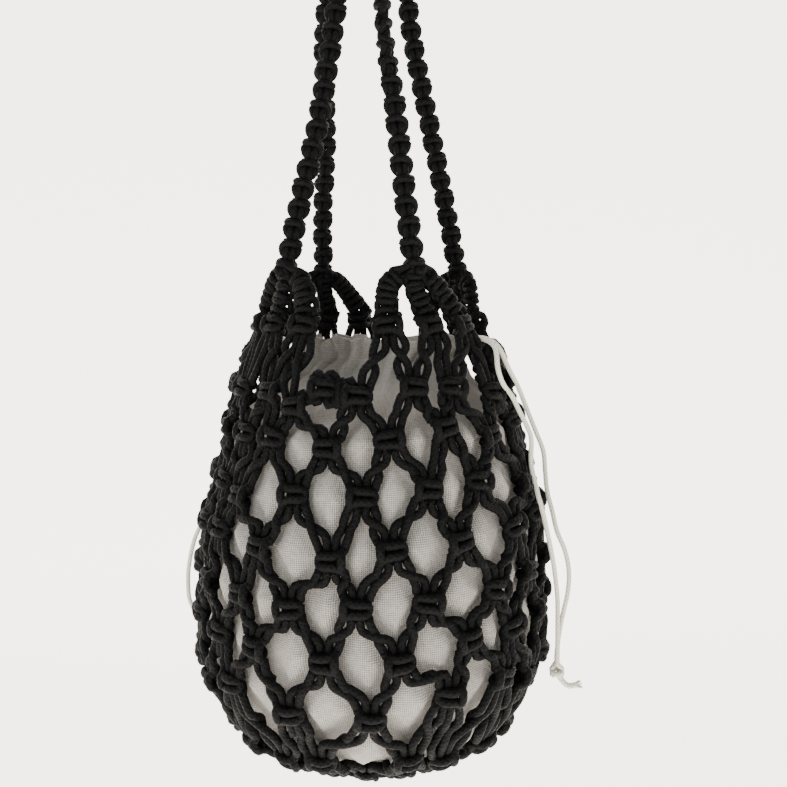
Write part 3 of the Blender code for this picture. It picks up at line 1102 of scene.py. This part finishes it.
@dataclass
class Handle:
    """A handle: a chain of knots up one leg, round the top where it hangs, and down the other."""

    name: str
    left: Leg
    right: Leg
    side: int
    top_centre: float
    top_radius: float
    material: bpy.types.Material
    thickness: float = 0.0085
    offset: float = 0.0080
    foot_depth: float = 0.0030
    arch_angles: tuple[float, ...] = (45.0, 90.0, 135.0)
    bow_heights: tuple[float, float, float, float] = (0.15, 0.34, 0.58, 0.80)

    def leg_points(self, leg: Leg, side: int) -> list[Array]:
        """Finds a leg's points from the collar up to the handle's round top.

        Args:
            leg: The leg.
            side: -1 for the left leg, 1 for the right.

        Returns:
            The points.
        """
        foot = SHAPE.around(SHAPE.collar_radius, leg.azimuth, self.foot_depth)
        top = np.array(
            (
                self.top_centre + side * self.top_radius,
                self.side * self.offset,
                0.5 * self.thickness - self.top_radius,
            )
        )
        points = [foot]
        for share, bow in zip(self.bow_heights, leg.bows):
            point = foot + share * (top - foot)
            point[0] += bow * SHAPE.strap_drop
            points.append(point)
        points.append(top)
        return points

    def route(self) -> Array:
        """Finds the handle's middle line from its left foot over the top to its right foot.

        Returns:
            The points, one a row.
        """
        crown = np.array((self.top_centre, self.side * self.offset, 0.5 * self.thickness))
        arch = []
        for angle in self.arch_angles:
            turn = math.radians(angle)
            drop = self.top_radius * (math.sin(turn) - 1.0)
            arch.append(crown + np.array((-self.top_radius * math.cos(turn), 0.0, drop)))
        left = self.leg_points(self.left, -1)
        right = self.leg_points(self.right, 1)
        return np.array(left + arch + right[::-1])

    def places(self) -> list[Place]:
        """Finds the places of the handle's knots.

        Returns:
            The places, from the left foot to the right foot.
        """
        points = smooth_line(self.route(), CHAIN.pitch, 24)
        last = len(points) - 1
        places = []
        for i, middle in enumerate(points):
            along = unit(points[min(i + 1, last)] - points[max(i - 1, 0)])
            leg = self.left if 2 * i < last else self.right
            height = (middle[2] + SHAPE.strap_drop) / SHAPE.strap_drop
            share = (height - leg.twist_start) / (leg.twist_end - leg.twist_start)
            share = min(max(share, 0.0), 1.0)
            twist = 0.5 * math.pi * share * share * (3.0 - 2.0 * share)
            front = unit(FRONT - along * FRONT.dot(along))
            face = math.cos(twist) * front - math.sin(twist) * np.cross(along, front)
            down = -along if 2 * i < last else along
            across = np.cross(face, down)
            places.append(Place(middle, across, down, face))
        return places

    def build(self) -> bpy.types.Object:
        """Builds and dresses the handle.

        Returns:
            The piece.
        """
        places = self.places()
        half = len(places) // 2
        mesh = CordMesh()
        CHAIN.tie(mesh, places[half - 1 :: -1])
        CHAIN.tie(mesh, places[half:])
        piece = mesh.make(f"{self.name}_chain", self.material)
        dress(piece, "black_cord", self.name)
        return piece


@dataclass
class Collar:
    """The collar: under each handle's end three short chains that fan out to the net's top row."""

    net: Net
    material: bpy.types.Material
    middles: tuple[tuple[str, int], ...] = (
        ("front_left", 16),
        ("front_right", 2),
        ("back_right", 7),
        ("back_left", 11),
    )
    fan: float = math.radians(13.0)
    head_depth: float = 0.0125
    head_share: float = 0.25
    stem_space: float = 0.0046
    start_depth: float = 0.0036
    knot_shares: tuple[float, float, float] = (0.37, 0.61, 0.84)
    sizes: tuple[float, float, float] = (0.72, 0.76, 0.84)
    slimness: float = 0.84

    def route(self, azimuth: float, middle: int, offset: int) -> Array:
        """Finds the middle line of a column.

        Args:
            azimuth: The azimuth of the handle's end.
            middle: The number of the top knot under the middle column.
            offset: -1, 0 or 1 for the left, middle or right column.

        Returns:
            Its start, its head and its foot, one a row.
        """
        row, below = self.net.spot(0, middle + offset)
        below += math.tau * round((azimuth - below) / math.tau)
        foot = row - SHAPE.rows_long(0.5 * SHAPE.knot_height, 0)
        head_radius = SHAPE.collar_radius + self.head_share * (SHAPE.profile(0)[0] - SHAPE.collar_radius)
        start_azimuth = azimuth + offset * self.stem_space / SHAPE.collar_radius
        return np.array(
            (
                SHAPE.around(SHAPE.collar_radius, start_azimuth, self.start_depth),
                SHAPE.around(head_radius, azimuth + offset * self.fan, self.head_depth),
                SHAPE.net_point(foot, below),
            )
        )

    def place(self, route: Array, share: float) -> Place:
        """Finds a place on a column.

        Args:
            route: The column's middle line.
            share: How far down it.

        Returns:
            The place.
        """
        spot = share * (len(route) - 1)
        middle = spline(route, spot)
        down = unit(spline(route, spot + PLACE_STEP) - spline(route, spot - PLACE_STEP))
        outward = unit(np.array((middle[0], middle[1], 0.0)))
        across = unit(np.cross(down, outward))
        return Place(middle, across, down, unit(np.cross(across, down)) * -1.0)

    def build(self) -> list[bpy.types.Object]:
        """Builds and dresses the columns of the collar.

        Returns:
            The pieces, one for each group of three columns.
        """
        pieces = []
        for name, middle in self.middles:
            mesh = CordMesh()
            for offset in (-1, 0, 1):
                self._column(mesh, self.route(ENDS[name], middle, offset))
            piece = mesh.make(f"collar_{name}", self.material)
            dress(piece, "black_cord", *(f"column_{name}_{number}" for number in (1, 2, 3)))
            pieces.append(piece)
        return pieces

    def _column(self, mesh: CordMesh, route: Array) -> None:
        """Adds a column: four cords that are tied in three close knots on their way to the net.

        Args:
            mesh: Where it goes.
            route: The column's middle line.
        """
        start = self.place(route, 0.0)
        end = self.place(route, 1.0)
        knots = [self.place(route, share) for share in self.knot_shares]
        radius = 0.5 * KNOT.cord_size * self.slimness
        for side in (-1.0, 1.0):
            points = [start.at([(side * 1.9, -3.0, 0.6), (side * 1.9, 1.0, 0.6)])]
            points += [knot.at(KNOT.still(side)[1:-1], size) for knot, size in zip(knots, self.sizes)]
            points.append(end.at([(side * 2.0, 0.0, 0.2), (side * 2.0, 2.0, 0.2)]))
            mesh.add(smooth_line(np.vstack(points), CORD_STEP), radius)
        for strand, side in ((KNOT.front_wraps, -1.0), (KNOT.back_wraps, 1.0)):
            points = [start.at([(side * 1.6, -3.0, -1.6), (side * 2.4, 1.0, -1.2)])]
            points += [knot.at(KNOT.wrap(strand)[1:-1], size) for knot, size in zip(knots, self.sizes)]
            points.append(end.at([(side * 5.4, 0.0, 0.2), (side * 5.8, 2.0, 0.2)]))
            mesh.add(smooth_line(np.vstack(points), WRAP_STEP), radius)


@dataclass
class Base:
    """The base: the lowest cords drawn together into rings of tight knots."""

    net: Net
    material: bpy.types.Material
    knot_size: float = 0.80
    rings: tuple[tuple[float, int], ...] = ((0.0430, 18), (0.0290, 12), (0.0150, 6))
    round_cords: tuple[float, ...] = (0.0060, 0.0220, 0.0360, 0.0500)
    round_steps: int = 24
    round_depth: float = 2.2
    bottom_lift: float = 0.0058
    flat_radius: float = 0.030
    rim_rise: float = 0.0085
    reach: float = math.radians(10.0)

    def place(self, radius: float, azimuth: float) -> Place:
        """Finds a place on the underside.

        Args:
            radius: Its distance from the bag's axis.
            azimuth: Its turn from the front.

        Returns:
            The place, whose outward direction is down.
        """
        edge = SHAPE.profile(SHAPE.last_row)[0]
        rise = self.rim_rise * max(0.0, (radius - self.flat_radius) / (edge - self.flat_radius)) ** 1.5
        depth = SHAPE.body_height - self.bottom_lift - rise
        middle = SHAPE.around(radius, azimuth, depth)
        inward = unit(SHAPE.around(radius - 0.004, azimuth, depth) - middle)
        across = np.array((math.cos(azimuth), math.sin(azimuth), 0.0))
        return Place(middle, across, inward, -UP)

    def build(self) -> bpy.types.Object:
        """Builds and dresses the base.

        Returns:
            The piece.
        """
        mesh = CordMesh()
        above = [self.net.place(SHAPE.last_row, index) for index in range(SHAPE.knots_round)]
        turns = [self.net.spot(SHAPE.last_row, index)[1] for index in range(SHAPE.knots_round)]
        for number, (radius, count) in enumerate(self.rings):
            places = []
            spots = []
            for index in range(count):
                azimuth = SHAPE.front_turn + (index + 0.5 * (number % 2)) * math.tau / count
                place = self.place(radius, azimuth)
                KNOT.tie(mesh, place, Bar.LEFT if index % 2 else Bar.RIGHT, self.knot_size)
                places.append(place)
                spots.append(azimuth)
            self._join(mesh, above, turns, places, spots)
            above, turns = places, spots
        for radius in self.round_cords:
            turns = [math.tau * i / self.round_steps for i in range(self.round_steps + 1)]
            ring = [self.place(radius, turn).at([(0.0, 0.0, -self.round_depth)])[0] for turn in turns]
            mesh.add(smooth_line(np.array(ring), 0.0026), 0.5 * KNOT.cord_size)
        piece = mesh.make("base_knots", self.material)
        dress(piece, "black_cord", "base")
        return piece

    def _join(
        self,
        mesh: CordMesh,
        above: list[Place],
        turns: list[float],
        below: list[Place],
        spots: list[float],
    ) -> None:
        """Joins two rings of knots by cords that slant to both sides.

        Args:
            mesh: Where they go.
            above: The outer knots' places.
            turns: Their azimuths.
            below: The inner knots' places.
            spots: Their azimuths.
        """
        for place, azimuth in zip(above, turns):
            for side in (-1.0, 1.0):
                wanted = azimuth + side * self.reach
                gaps = [abs(math.remainder(spot - wanted, math.tau)) for spot in spots]
                target = below[int(np.argmin(gaps))]
                for worker in (False, True):
                    start = KNOT.corner(place, side, True, worker)
                    end = KNOT.corner(target, -side, False, worker)
                    middle = 0.5 * (start + end) + place.outward * (0.0012 if worker else -0.0004)
                    line = smooth_line(np.array((start, middle, end)), CORD_STEP)
                    mesh.add(line, 0.5 * KNOT.cord_size)


# Pouch


@dataclass
class Pouch:
    """The pouch: thin linen that fills the net and bulges through it, drawn in to a pleated mouth."""

    net: Net
    material: bpy.types.Material
    wall: float = 0.0011
    clearance: float = 0.0022
    net_thickness: float = 0.0060
    mouth_width: float = 0.094
    mouth_offset: float = 0.008
    segments: int = 216
    body_steps: int = 96
    neck_steps: int = 44
    holds: tuple[tuple[float, float], ...] = (
        (2.05, 1.0),
        (3.00, 1.0),
        (4.00, 1.0),
        (5.00, 1.0),
        (6.00, 1.0),
        (6.90, 1.2),
        (7.50, 1.6),
        (8.10, 1.4),
        (8.70, 1.2),
    )
    necks: tuple[tuple[float, float, float, float, float], ...] = (
        (0.1480, 0.54, 0.185, 1.00, 1.4),
        (0.1700, 0.50, 0.160, 1.00, 1.1),
        (0.1880, 0.48, 0.150, 1.00, 0.8),
        (0.2050, 0.51, 0.195, 0.85, 1.1),
        (0.2300, 0.58, 0.290, 0.70, 0.6),
        (0.2620, 0.70, 0.500, 0.40, 0.3),
    )
    pleat_count: int = 29
    pleat_depth: float = 0.0021
    gather_count: int = 11
    gather_depth: float = 0.0016
    frill_counts: tuple[int, int] = (9, 17)
    frill_height: float = 0.0016
    fold_counts: tuple[int, int] = (17, 31)
    fold_depths: tuple[float, float] = (0.0013, 0.0008)
    shoulder_lift: float = 0.0015
    floor_height: float = 0.0055 + 0.0013 + 0.0030
    swell: float = 0.0048
    pressed: float = 0.0040
    free: float = 0.0085
    floor_shares: tuple[float, ...] = (0.85, 0.65, 0.45, 0.25, 0.08)

    def neck_ring(self, place: float, turns: Array) -> Array:
        """Finds a ring of the pouch's neck.

        Args:
            place: Where between the neck's rings, counted in rings.
            turns: The azimuths of the ring's points.

        Returns:
            The points, one a row.
        """
        depth, half_width, half_depth, shift, pleats = spline(np.array(self.necks), place)
        height = -SHAPE.strap_drop - depth * SHAPE.body_height
        uneven = 1.8 * np.sin(3 * turns)
        fold = self.pleat_depth * pleats * np.cos(self.pleat_count * turns + uneven + 1.0 * place)
        fold += self.gather_depth * pleats * np.cos(self.gather_count * turns + 1.9 * place + 0.6)
        wide, narrow = self.frill_counts
        frill = self.frill_height * max(0.0, 1.0 - place)
        frill = frill * (np.sin(wide * turns + 0.4) + np.sin(narrow * turns))
        x = (half_width * self.mouth_width + fold) * np.sin(turns) + shift * self.mouth_offset
        y = -(half_depth * self.mouth_width + fold) * np.cos(turns)
        return np.column_stack((x, y, height + frill))

    def cord_gaps(self, row: float, turns: Array) -> Array:
        """Measures how far points of a ring lie from the nearest cords of the net.

        Args:
            row: The ring's row.
            turns: The azimuths of the ring's points.

        Returns:
            The distances.
        """
        gaps = np.full(len(turns), 1.0)
        radius, depth = SHAPE.profile(row)
        depths = depth - SHAPE.lean_at(row) * np.sin(turns)
        for a_turn, a_depth, b_turn, b_depth in self.net_links():
            run = math.remainder(b_turn - a_turn, math.tau) * radius
            drop = b_depth - a_depth
            x = np.remainder(turns - a_turn + math.pi, math.tau) - math.pi
            x = x * radius
            y = depths - a_depth
            share = np.clip((x * run + y * drop) / (run * run + drop * drop), 0.0, 1.0)
            gaps = np.minimum(gaps, np.hypot(x - share * run, y - share * drop))
        return gaps

    def net_links(self) -> list[tuple[float, float, float, float]]:
        """Lists the net's links.

        Returns:
            The azimuth and depth of each link's upper and lower knots.
        """
        found = []
        for row in range(SHAPE.last_row):
            for index in range(SHAPE.knots_round):
                for _, number in self.net.links(row, index):
                    ends = []
                    for spot in (self.net.spot(row, index), self.net.spot(row + 1, number)):
                        depth = SHAPE.profile(spot[0])[1] - SHAPE.lean_at(spot[0]) * math.sin(spot[1])
                        ends += [spot[1], float(depth)]
                    found.append(tuple(ends))
        return found

    def body_ring(self, place: float, turns: Array) -> Array:
        """Finds a ring of the pouch's body, pressed in by the net's cords and bulging between them.

        Args:
            place: Where between the body's rings, counted in rings.
            turns: The azimuths of the ring's points.

        Returns:
            The points, one a row.
        """
        row, slack = spline(np.array(self.holds), place)
        inset = 0.5 * self.net_thickness + slack * self.clearance + 0.5 * self.wall
        free = np.clip((self.cord_gaps(row, turns) - self.pressed) / self.free, 0.0, 1.0)
        swell = self.swell * free * free * (3.0 - 2.0 * free)
        waves = (2.1 * math.sin(1.1 * row), -1.7 * math.sin(0.8 * row + 1.0))
        folds = 0.0
        for depth, number, wave in zip(self.fold_depths, self.fold_counts, waves):
            folds = folds + depth * np.sin(number * turns + wave) * free
        lifts = swell + folds - inset
        return np.array([SHAPE.net_point(row, turn, lift) for turn, lift in zip(turns, lifts)])

    def rings(self) -> list[Array]:
        """Finds all of the pouch's rings from its frill down to its floor.

        Returns:
            The rings.
        """
        turns = np.arange(self.segments) * math.tau / self.segments
        neck_places = np.linspace(0.0, len(self.necks) - 1, self.neck_steps)
        body_places = np.linspace(0.0, len(self.holds) - 1, self.body_steps)
        found = [self.neck_ring(place, turns) for place in neck_places]
        body = [self.body_ring(place, turns) for place in body_places]
        first, last = found[-1], body[0]
        for share in (0.25, 0.5, 0.75):
            blend = share * share * (3.0 - 2.0 * share)
            lift = self.shoulder_lift * math.sin(math.pi * blend)
            found.append(first + share * (last - first) + lift * UP)
        found += body
        floor = -SHAPE.strap_drop - SHAPE.body_height + self.floor_height
        edge = body[-1]
        for share in self.floor_shares:
            ring = edge * np.array((share, share, 1.0))
            ring[:, 2] = floor + (edge[:, 2] - floor) * share**2
            found.append(ring)
        return found

    def build(self) -> bpy.types.Object:
        """Builds and dresses the pouch.

        Returns:
            The piece.
        """
        rings = self.rings()
        count = self.segments
        vertices = np.vstack(rings)
        here = np.arange(count)
        after = (here + 1) % count
        faces = []
        maps = []
        reach = SHAPE.body_radius * math.tau
        fall = 0.0
        for number in range(len(rings) - 1):
            step = float(np.linalg.norm(rings[number + 1] - rings[number], axis=1).mean())
            low, high = number * count, (number + 1) * count
            faces.append(np.column_stack((low + here, high + here, high + after, low + after)))
            near = here / count * reach
            far = (here + 1) / count * reach
            corners = (near, fall, near, fall + step, far, fall + step, far, fall)
            columns = [np.broadcast_to(corner, (count,)) for corner in corners]
            maps.append(np.column_stack(columns).reshape(-1, 4, 2))
            fall += step
        piece = new_piece("linen_pouch", vertices, np.vstack(faces), np.vstack(maps), self.material)
        solid = piece.modifiers.new("cloth", "SOLIDIFY")
        solid.thickness = self.wall
        solid.offset = 0.0
        dress(piece, "linen", "pouch")
        return piece


# Drawstrings


@dataclass
class Strand:
    """A drawstring's strand from where it leaves the casing down to its knot."""

    name: str
    route: tuple[tuple[float, float, float], ...]
    length: float


RIGHT_OUTER = Strand(
    "drawstring_right_outer",
    (
        (0.0530, -0.0072, -0.3166),
        (0.0635, -0.0285, -0.3125),
        (0.0722, -0.0385, -0.3165),
        (0.0800, -0.0335, -0.3310),
        (0.0872, -0.0230, -0.3428),
        (0.0930, -0.0190, -0.3563),
        (0.0980, -0.0180, -0.3686),
        (0.1026, -0.0185, -0.3808),
        (0.1034, -0.0205, -0.3924),
        (0.1042, -0.0225, -0.4038),
        (0.1068, -0.0245, -0.4154),
        (0.1095, -0.0250, -0.4270),
        (0.1143, -0.0250, -0.4390),
        (0.1166, -0.0250, -0.4508),
        (0.1161, -0.0248, -0.4626),
        (0.1137, -0.0243, -0.4744),
        (0.1114, -0.0238, -0.4862),
        (0.1098, -0.0235, -0.4990),
        (0.1096, -0.0235, -0.5060),
    ),
    0.239,
)
RIGHT_INNER = Strand(
    "drawstring_right_inner",
    (
        (0.0540, -0.0115, -0.3206),
        (0.0560, -0.0290, -0.3150),
        (0.0622, -0.0385, -0.3125),
        (0.0690, -0.0505, -0.3165),
        (0.0705, -0.0545, -0.3290),
        (0.0742, -0.0490, -0.3378),
        (0.0803, -0.0438, -0.3458),
        (0.0849, -0.0390, -0.3543),
        (0.0901, -0.0360, -0.3640),
        (0.0926, -0.0350, -0.3716),
        (0.0922, -0.0370, -0.3853),
        (0.0948, -0.0420, -0.4005),
        (0.0978, -0.0434, -0.4122),
        (0.1014, -0.0385, -0.4254),
        (0.1056, -0.0335, -0.4430),
        (0.1087, -0.0300, -0.4640),
        (0.1092, -0.0285, -0.4825),
        (0.1093, -0.0275, -0.4990),
        (0.1092, -0.0272, -0.5060),
    ),
    0.249,
)
LEFT_OUTER = Strand(
    "drawstring_left_outer",
    (
        (-0.0358, 0.0000, -0.3160),
        (-0.0480, 0.0010, -0.3158),
        (-0.0640, 0.0130, -0.3150),
        (-0.0790, 0.0290, -0.3210),
        (-0.0850, 0.0330, -0.3400),
        (-0.0900, 0.0340, -0.3600),
        (-0.0962, 0.0320, -0.3850),
        (-0.1030, 0.0280, -0.4100),
        (-0.1096, 0.0230, -0.4330),
        (-0.1147, 0.0220, -0.4460),
        (-0.1182, 0.0220, -0.4640),
        (-0.1180, 0.0220, -0.4810),
        (-0.1152, 0.0235, -0.4900),
        (-0.1110, 0.0260, -0.4990),
        (-0.1070, 0.0290, -0.5120),
    ),
    0.256,
)
LEFT_INNER = Strand(
    "drawstring_left_inner",
    (
        (-0.0318, 0.0060, -0.3190),
        (-0.0450, 0.0090, -0.3180),
        (-0.0590, 0.0215, -0.3150),
        (-0.0680, 0.0320, -0.3140),
        (-0.0755, 0.0400, -0.3215),
        (-0.0803, 0.0440, -0.3400),
        (-0.0840, 0.0465, -0.3600),
        (-0.0890, 0.0480, -0.3850),
        (-0.0940, 0.0480, -0.4100),
        (-0.0985, 0.0460, -0.4350),
        (-0.1015, 0.0430, -0.4600),
        (-0.1035, 0.0385, -0.4850),
        (-0.1050, 0.0325, -0.5120),
    ),
    0.255,
)

# Tails of the drawstrings, from the middle of each knot
RIGHT_TAIL = ((0.0030, 0.0, -0.0046), (0.0068, 0.0, -0.0078), (0.0120, 0.0, -0.0072))
LEFT_TAIL = ((-0.0010, 0.0, -0.0054), (-0.0018, 0.0, -0.0100), (-0.0022, 0.0, -0.0150))


@dataclass
class Drawstring:
    """A drawstring: two strands that come down the bag's side and end in one knot with a frayed tail."""

    side: str
    strands: tuple[Strand, Strand]
    tail: tuple[tuple[float, float, float], ...]
    material: bpy.types.Material
    size: float = 0.0028
    knot_size: float = 0.0084
    clearance: float = 0.0003
    loop_radius: float = 0.0030
    loop_climb: float = 0.0024
    loop_steps: int = 14
    tail_share: float = 0.58
    threads: int = 14
    thread_radius: float = 0.00028

    def build(self) -> list[bpy.types.Object]:
        """Builds and dresses the strands and their knot.

        Returns:
            The strands.
        """
        knot = self._knot()
        pieces = []
        for strand in self.strands:
            mesh = CordMesh(sides=12)
            line = smooth_line(np.array(strand.route), 0.0012, 24)
            mesh.add(line, 0.5 * self.size)
            piece = mesh.make(f"{strand.name}_strand", self.material)
            dress(piece, "cream_cord", strand.name)
            pieces.append(piece)
        return pieces

    def _knot(self) -> bpy.types.Object:
        """Builds the overhand knot and its frayed tail.

        Returns:
            The piece.
        """
        ends = np.array([strand.route[-1] for strand in self.strands])
        top = ends.mean(axis=0)
        top[2] = ends[:, 2].min() - 2.0 * self.clearance
        middle = top - 0.5 * self.knot_size * UP
        mesh = CordMesh(sides=12)
        for lead, end in zip((-1.0, 1.0), ends):
            loops = []
            for i in range(self.loop_steps + 1):
                turn = math.tau * i / 10 * lead + (0.0 if lead > 0 else math.pi)
                climb = self.loop_climb - 2.0 * self.loop_climb * i / self.loop_steps
                across = self.loop_radius * math.cos(turn)
                loops.append(middle + np.array((across, 0.8 * self.loop_radius * math.sin(turn), climb)))
            mesh.add(smooth_line(np.array([end + 0.001 * UP, *loops]), 0.0008), 0.5 * self.size)
        tail = np.array([middle, *(middle + np.array(offset) for offset in self.tail)])
        line = smooth_line(tail, 0.0010)
        mesh.add(line, self.tail_share * self.size)
        self._fray(mesh, line)
        piece = mesh.make(f"string_knot_{self.side}_tied", self.material)
        dress(piece, "cream_cord", f"string_knot_{self.side}")
        return piece

    def _fray(self, mesh: CordMesh, line: Array) -> None:
        """Adds the loose threads at the tail's end.

        Args:
            mesh: Where they go.
            line: The tail's middle line.
        """
        along = unit(line[-1] - line[-3])
        beside = unit(np.cross(along, FRONT))
        for i in range(self.threads):
            turn = i * 2.4
            spread = math.cos(turn) * beside + math.sin(turn) * np.cross(along, beside)
            root = line[-2] + 0.00085 * spread
            tip = line[-1] + (0.0022 + 0.0006 * math.cos(3 * turn)) * along + 0.0019 * spread
            middle = 0.5 * (root + tip) + 0.0004 * spread
            mesh.add(smooth_line(np.array((root, middle, tip)), 0.0008), self.thread_radius)


# Studio


@dataclass(frozen=True)
class Studio:
    """The plain pale backdrop and floor, the soft lights, and the camera where the photograph was taken."""

    floor_height: float = -1.25
    wall_distance: float = 1.15
    sweep: float = 0.45
    sweep_steps: int = 12
    front_edge: float = -3.0
    wall_top: float = 3.0
    width: float = 6.0
    tone: tuple[float, float, float] = (0.86, 0.825, 0.765)
    glow: float = 3.6
    camera_place: tuple[float, float, float] = (0.0, -0.558, -0.2874)
    focal: float = 41.17
    shift: tuple[float, float] = (0.0273, -0.1252)
    sensor: float = 36.0
    aim: tuple[float, float, float] = (0.0, 0.0, -0.35)
    lights: tuple[tuple[str, tuple[float, float, float], float, float], ...] = (
        ("key", (-0.9, -1.6, 0.5), 1.2, 34.0),
        ("fill", (1.3, -1.4, -0.2), 1.2, 12.0),
        ("low", (0.0, -1.5, -0.9), 1.0, 6.0),
    )
    round_light: float = 0.45
    round_tone: tuple[float, float, float] = (1.0, 0.985, 0.96)

    def camera(self) -> None:
        """Makes the camera."""
        data = bpy.data.cameras.new("camera")
        data.lens = self.focal
        data.sensor_width = self.sensor
        data.shift_x, data.shift_y = self.shift
        data.clip_start = 0.01
        data.clip_end = 50.0
        camera = bpy.data.objects.new("camera", data)
        camera.location = self.camera_place
        camera.rotation_euler = (math.radians(90.0), 0.0, 0.0)
        bpy.context.scene.collection.objects.link(camera)
        bpy.context.scene.camera = camera

    def backdrop(self) -> None:
        """Makes the floor and the wall as one sheet with a curved sweep between them."""
        line = [(self.front_edge, self.floor_height), (self.wall_distance - self.sweep, self.floor_height)]
        for i in range(1, self.sweep_steps + 1):
            turn = 0.5 * math.pi * i / self.sweep_steps
            line.append(
                (
                    self.wall_distance - self.sweep * (1.0 - math.sin(turn)),
                    self.floor_height + self.sweep * (1.0 - math.cos(turn)),
                )
            )
        line.append((self.wall_distance, self.wall_top))
        half = 0.5 * self.width
        vertices = np.array([(x, y, z) for y, z in line for x in (-half, half)])
        count = len(line) - 1
        faces = np.array([(2 * i, 2 * i + 1, 2 * i + 3, 2 * i + 2) for i in range(count)])
        material = bpy.data.materials.new("pale_paper")
        material.use_nodes = True
        shader = material.node_tree.nodes["Principled BSDF"]
        shader.inputs["Base Color"].default_value = (*self.tone, 1.0)
        shader.inputs["Roughness"].default_value = 0.95
        shader.inputs["Emission Color"].default_value = (*self.tone, 1.0)
        shader.inputs["Emission Strength"].default_value = self.glow
        shader.inputs["Specular IOR Level"].default_value = 0.1
        sheet = new_piece("backdrop", vertices, faces, np.zeros((count, 4, 2)), material)

    def light(self, name: str, place: tuple[float, float, float], size: float, power: float) -> None:
        """Adds a soft square light that faces the bag.

        Args:
            name: Its name.
            place: Where it stands.
            size: Its width.
            power: Its power in watts.
        """
        data = bpy.data.lights.new(name, "AREA")
        data.shape = "SQUARE"
        data.size = size
        data.energy = power
        lamp = bpy.data.objects.new(name, data)
        lamp.location = place
        aim = Vector(self.aim) - lamp.location
        lamp.rotation_euler = aim.to_track_quat("-Z", "Y").to_euler()
        bpy.context.scene.collection.objects.link(lamp)

    def build(self) -> None:
        """Makes the backdrop, the lights and the even light from all round."""
        self.backdrop()
        for name, place, size, power in self.lights:
            self.light(name, place, size, power)
        world = bpy.data.worlds.new("studio")
        bpy.context.scene.world = world
        world.use_nodes = True
        background = world.node_tree.nodes["Background"]
        background.inputs["Color"].default_value = (*self.round_tone, 1.0)
        background.inputs["Strength"].default_value = self.round_light


def handles(material: bpy.types.Material) -> list[Handle]:
    """Lists the two handles.

    Args:
        material: Their finish.

    Returns:
        The front and the back handle.
    """
    front = Handle(
        "handle_front",
        Leg(ENDS["front_left"], (0.008, 0.021, 0.022, 0.010), 0.62, 0.90),
        Leg(ENDS["front_right"], (-0.010, -0.020, -0.036, -0.018), 0.28, 0.56),
        -1,
        -0.001,
        0.011,
        material,
    )
    back = Handle(
        "handle_back",
        Leg(ENDS["back_left"], (-0.009, -0.009, -0.026, -0.012), 0.64, 0.92),
        Leg(ENDS["back_right"], (-0.003, -0.010, -0.019, -0.008), 0.64, 0.92),
        1,
        -0.003,
        0.015,
        material,
    )
    return [front, back]


def corners(box: tuple) -> list[list[float]]:
    """Returns a box's lowest and highest corner as plain lists."""
    return [list(corner) for corner in box]


def main() -> None:
    """Builds the bag's pieces around the CAD frame."""
    logging.basicConfig(level=logging.INFO)
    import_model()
    groups = {Group.BRAID: braid_group(), Group.WEAVE: weave_group(), Group.MOTTLE: mottle_group()}
    black = BLACK_CORD.material(groups)
    linen = LINEN.material(groups)
    cream = CREAM_CORD.material(groups)
    studio = Studio()
    studio.camera()
    Drawstring("right", (RIGHT_OUTER, RIGHT_INNER), RIGHT_TAIL, cream).build()
    Drawstring("left", (LEFT_OUTER, LEFT_INNER), LEFT_TAIL, cream).build()
    net = Net(black)
    net.build()
    Collar(net, black).build()
    for handle in handles(black):
        handle.build()
    Base(net, black).build()
    Pouch(net, linen).build()
    studio.build()


if __name__ == "__main__":
    main()
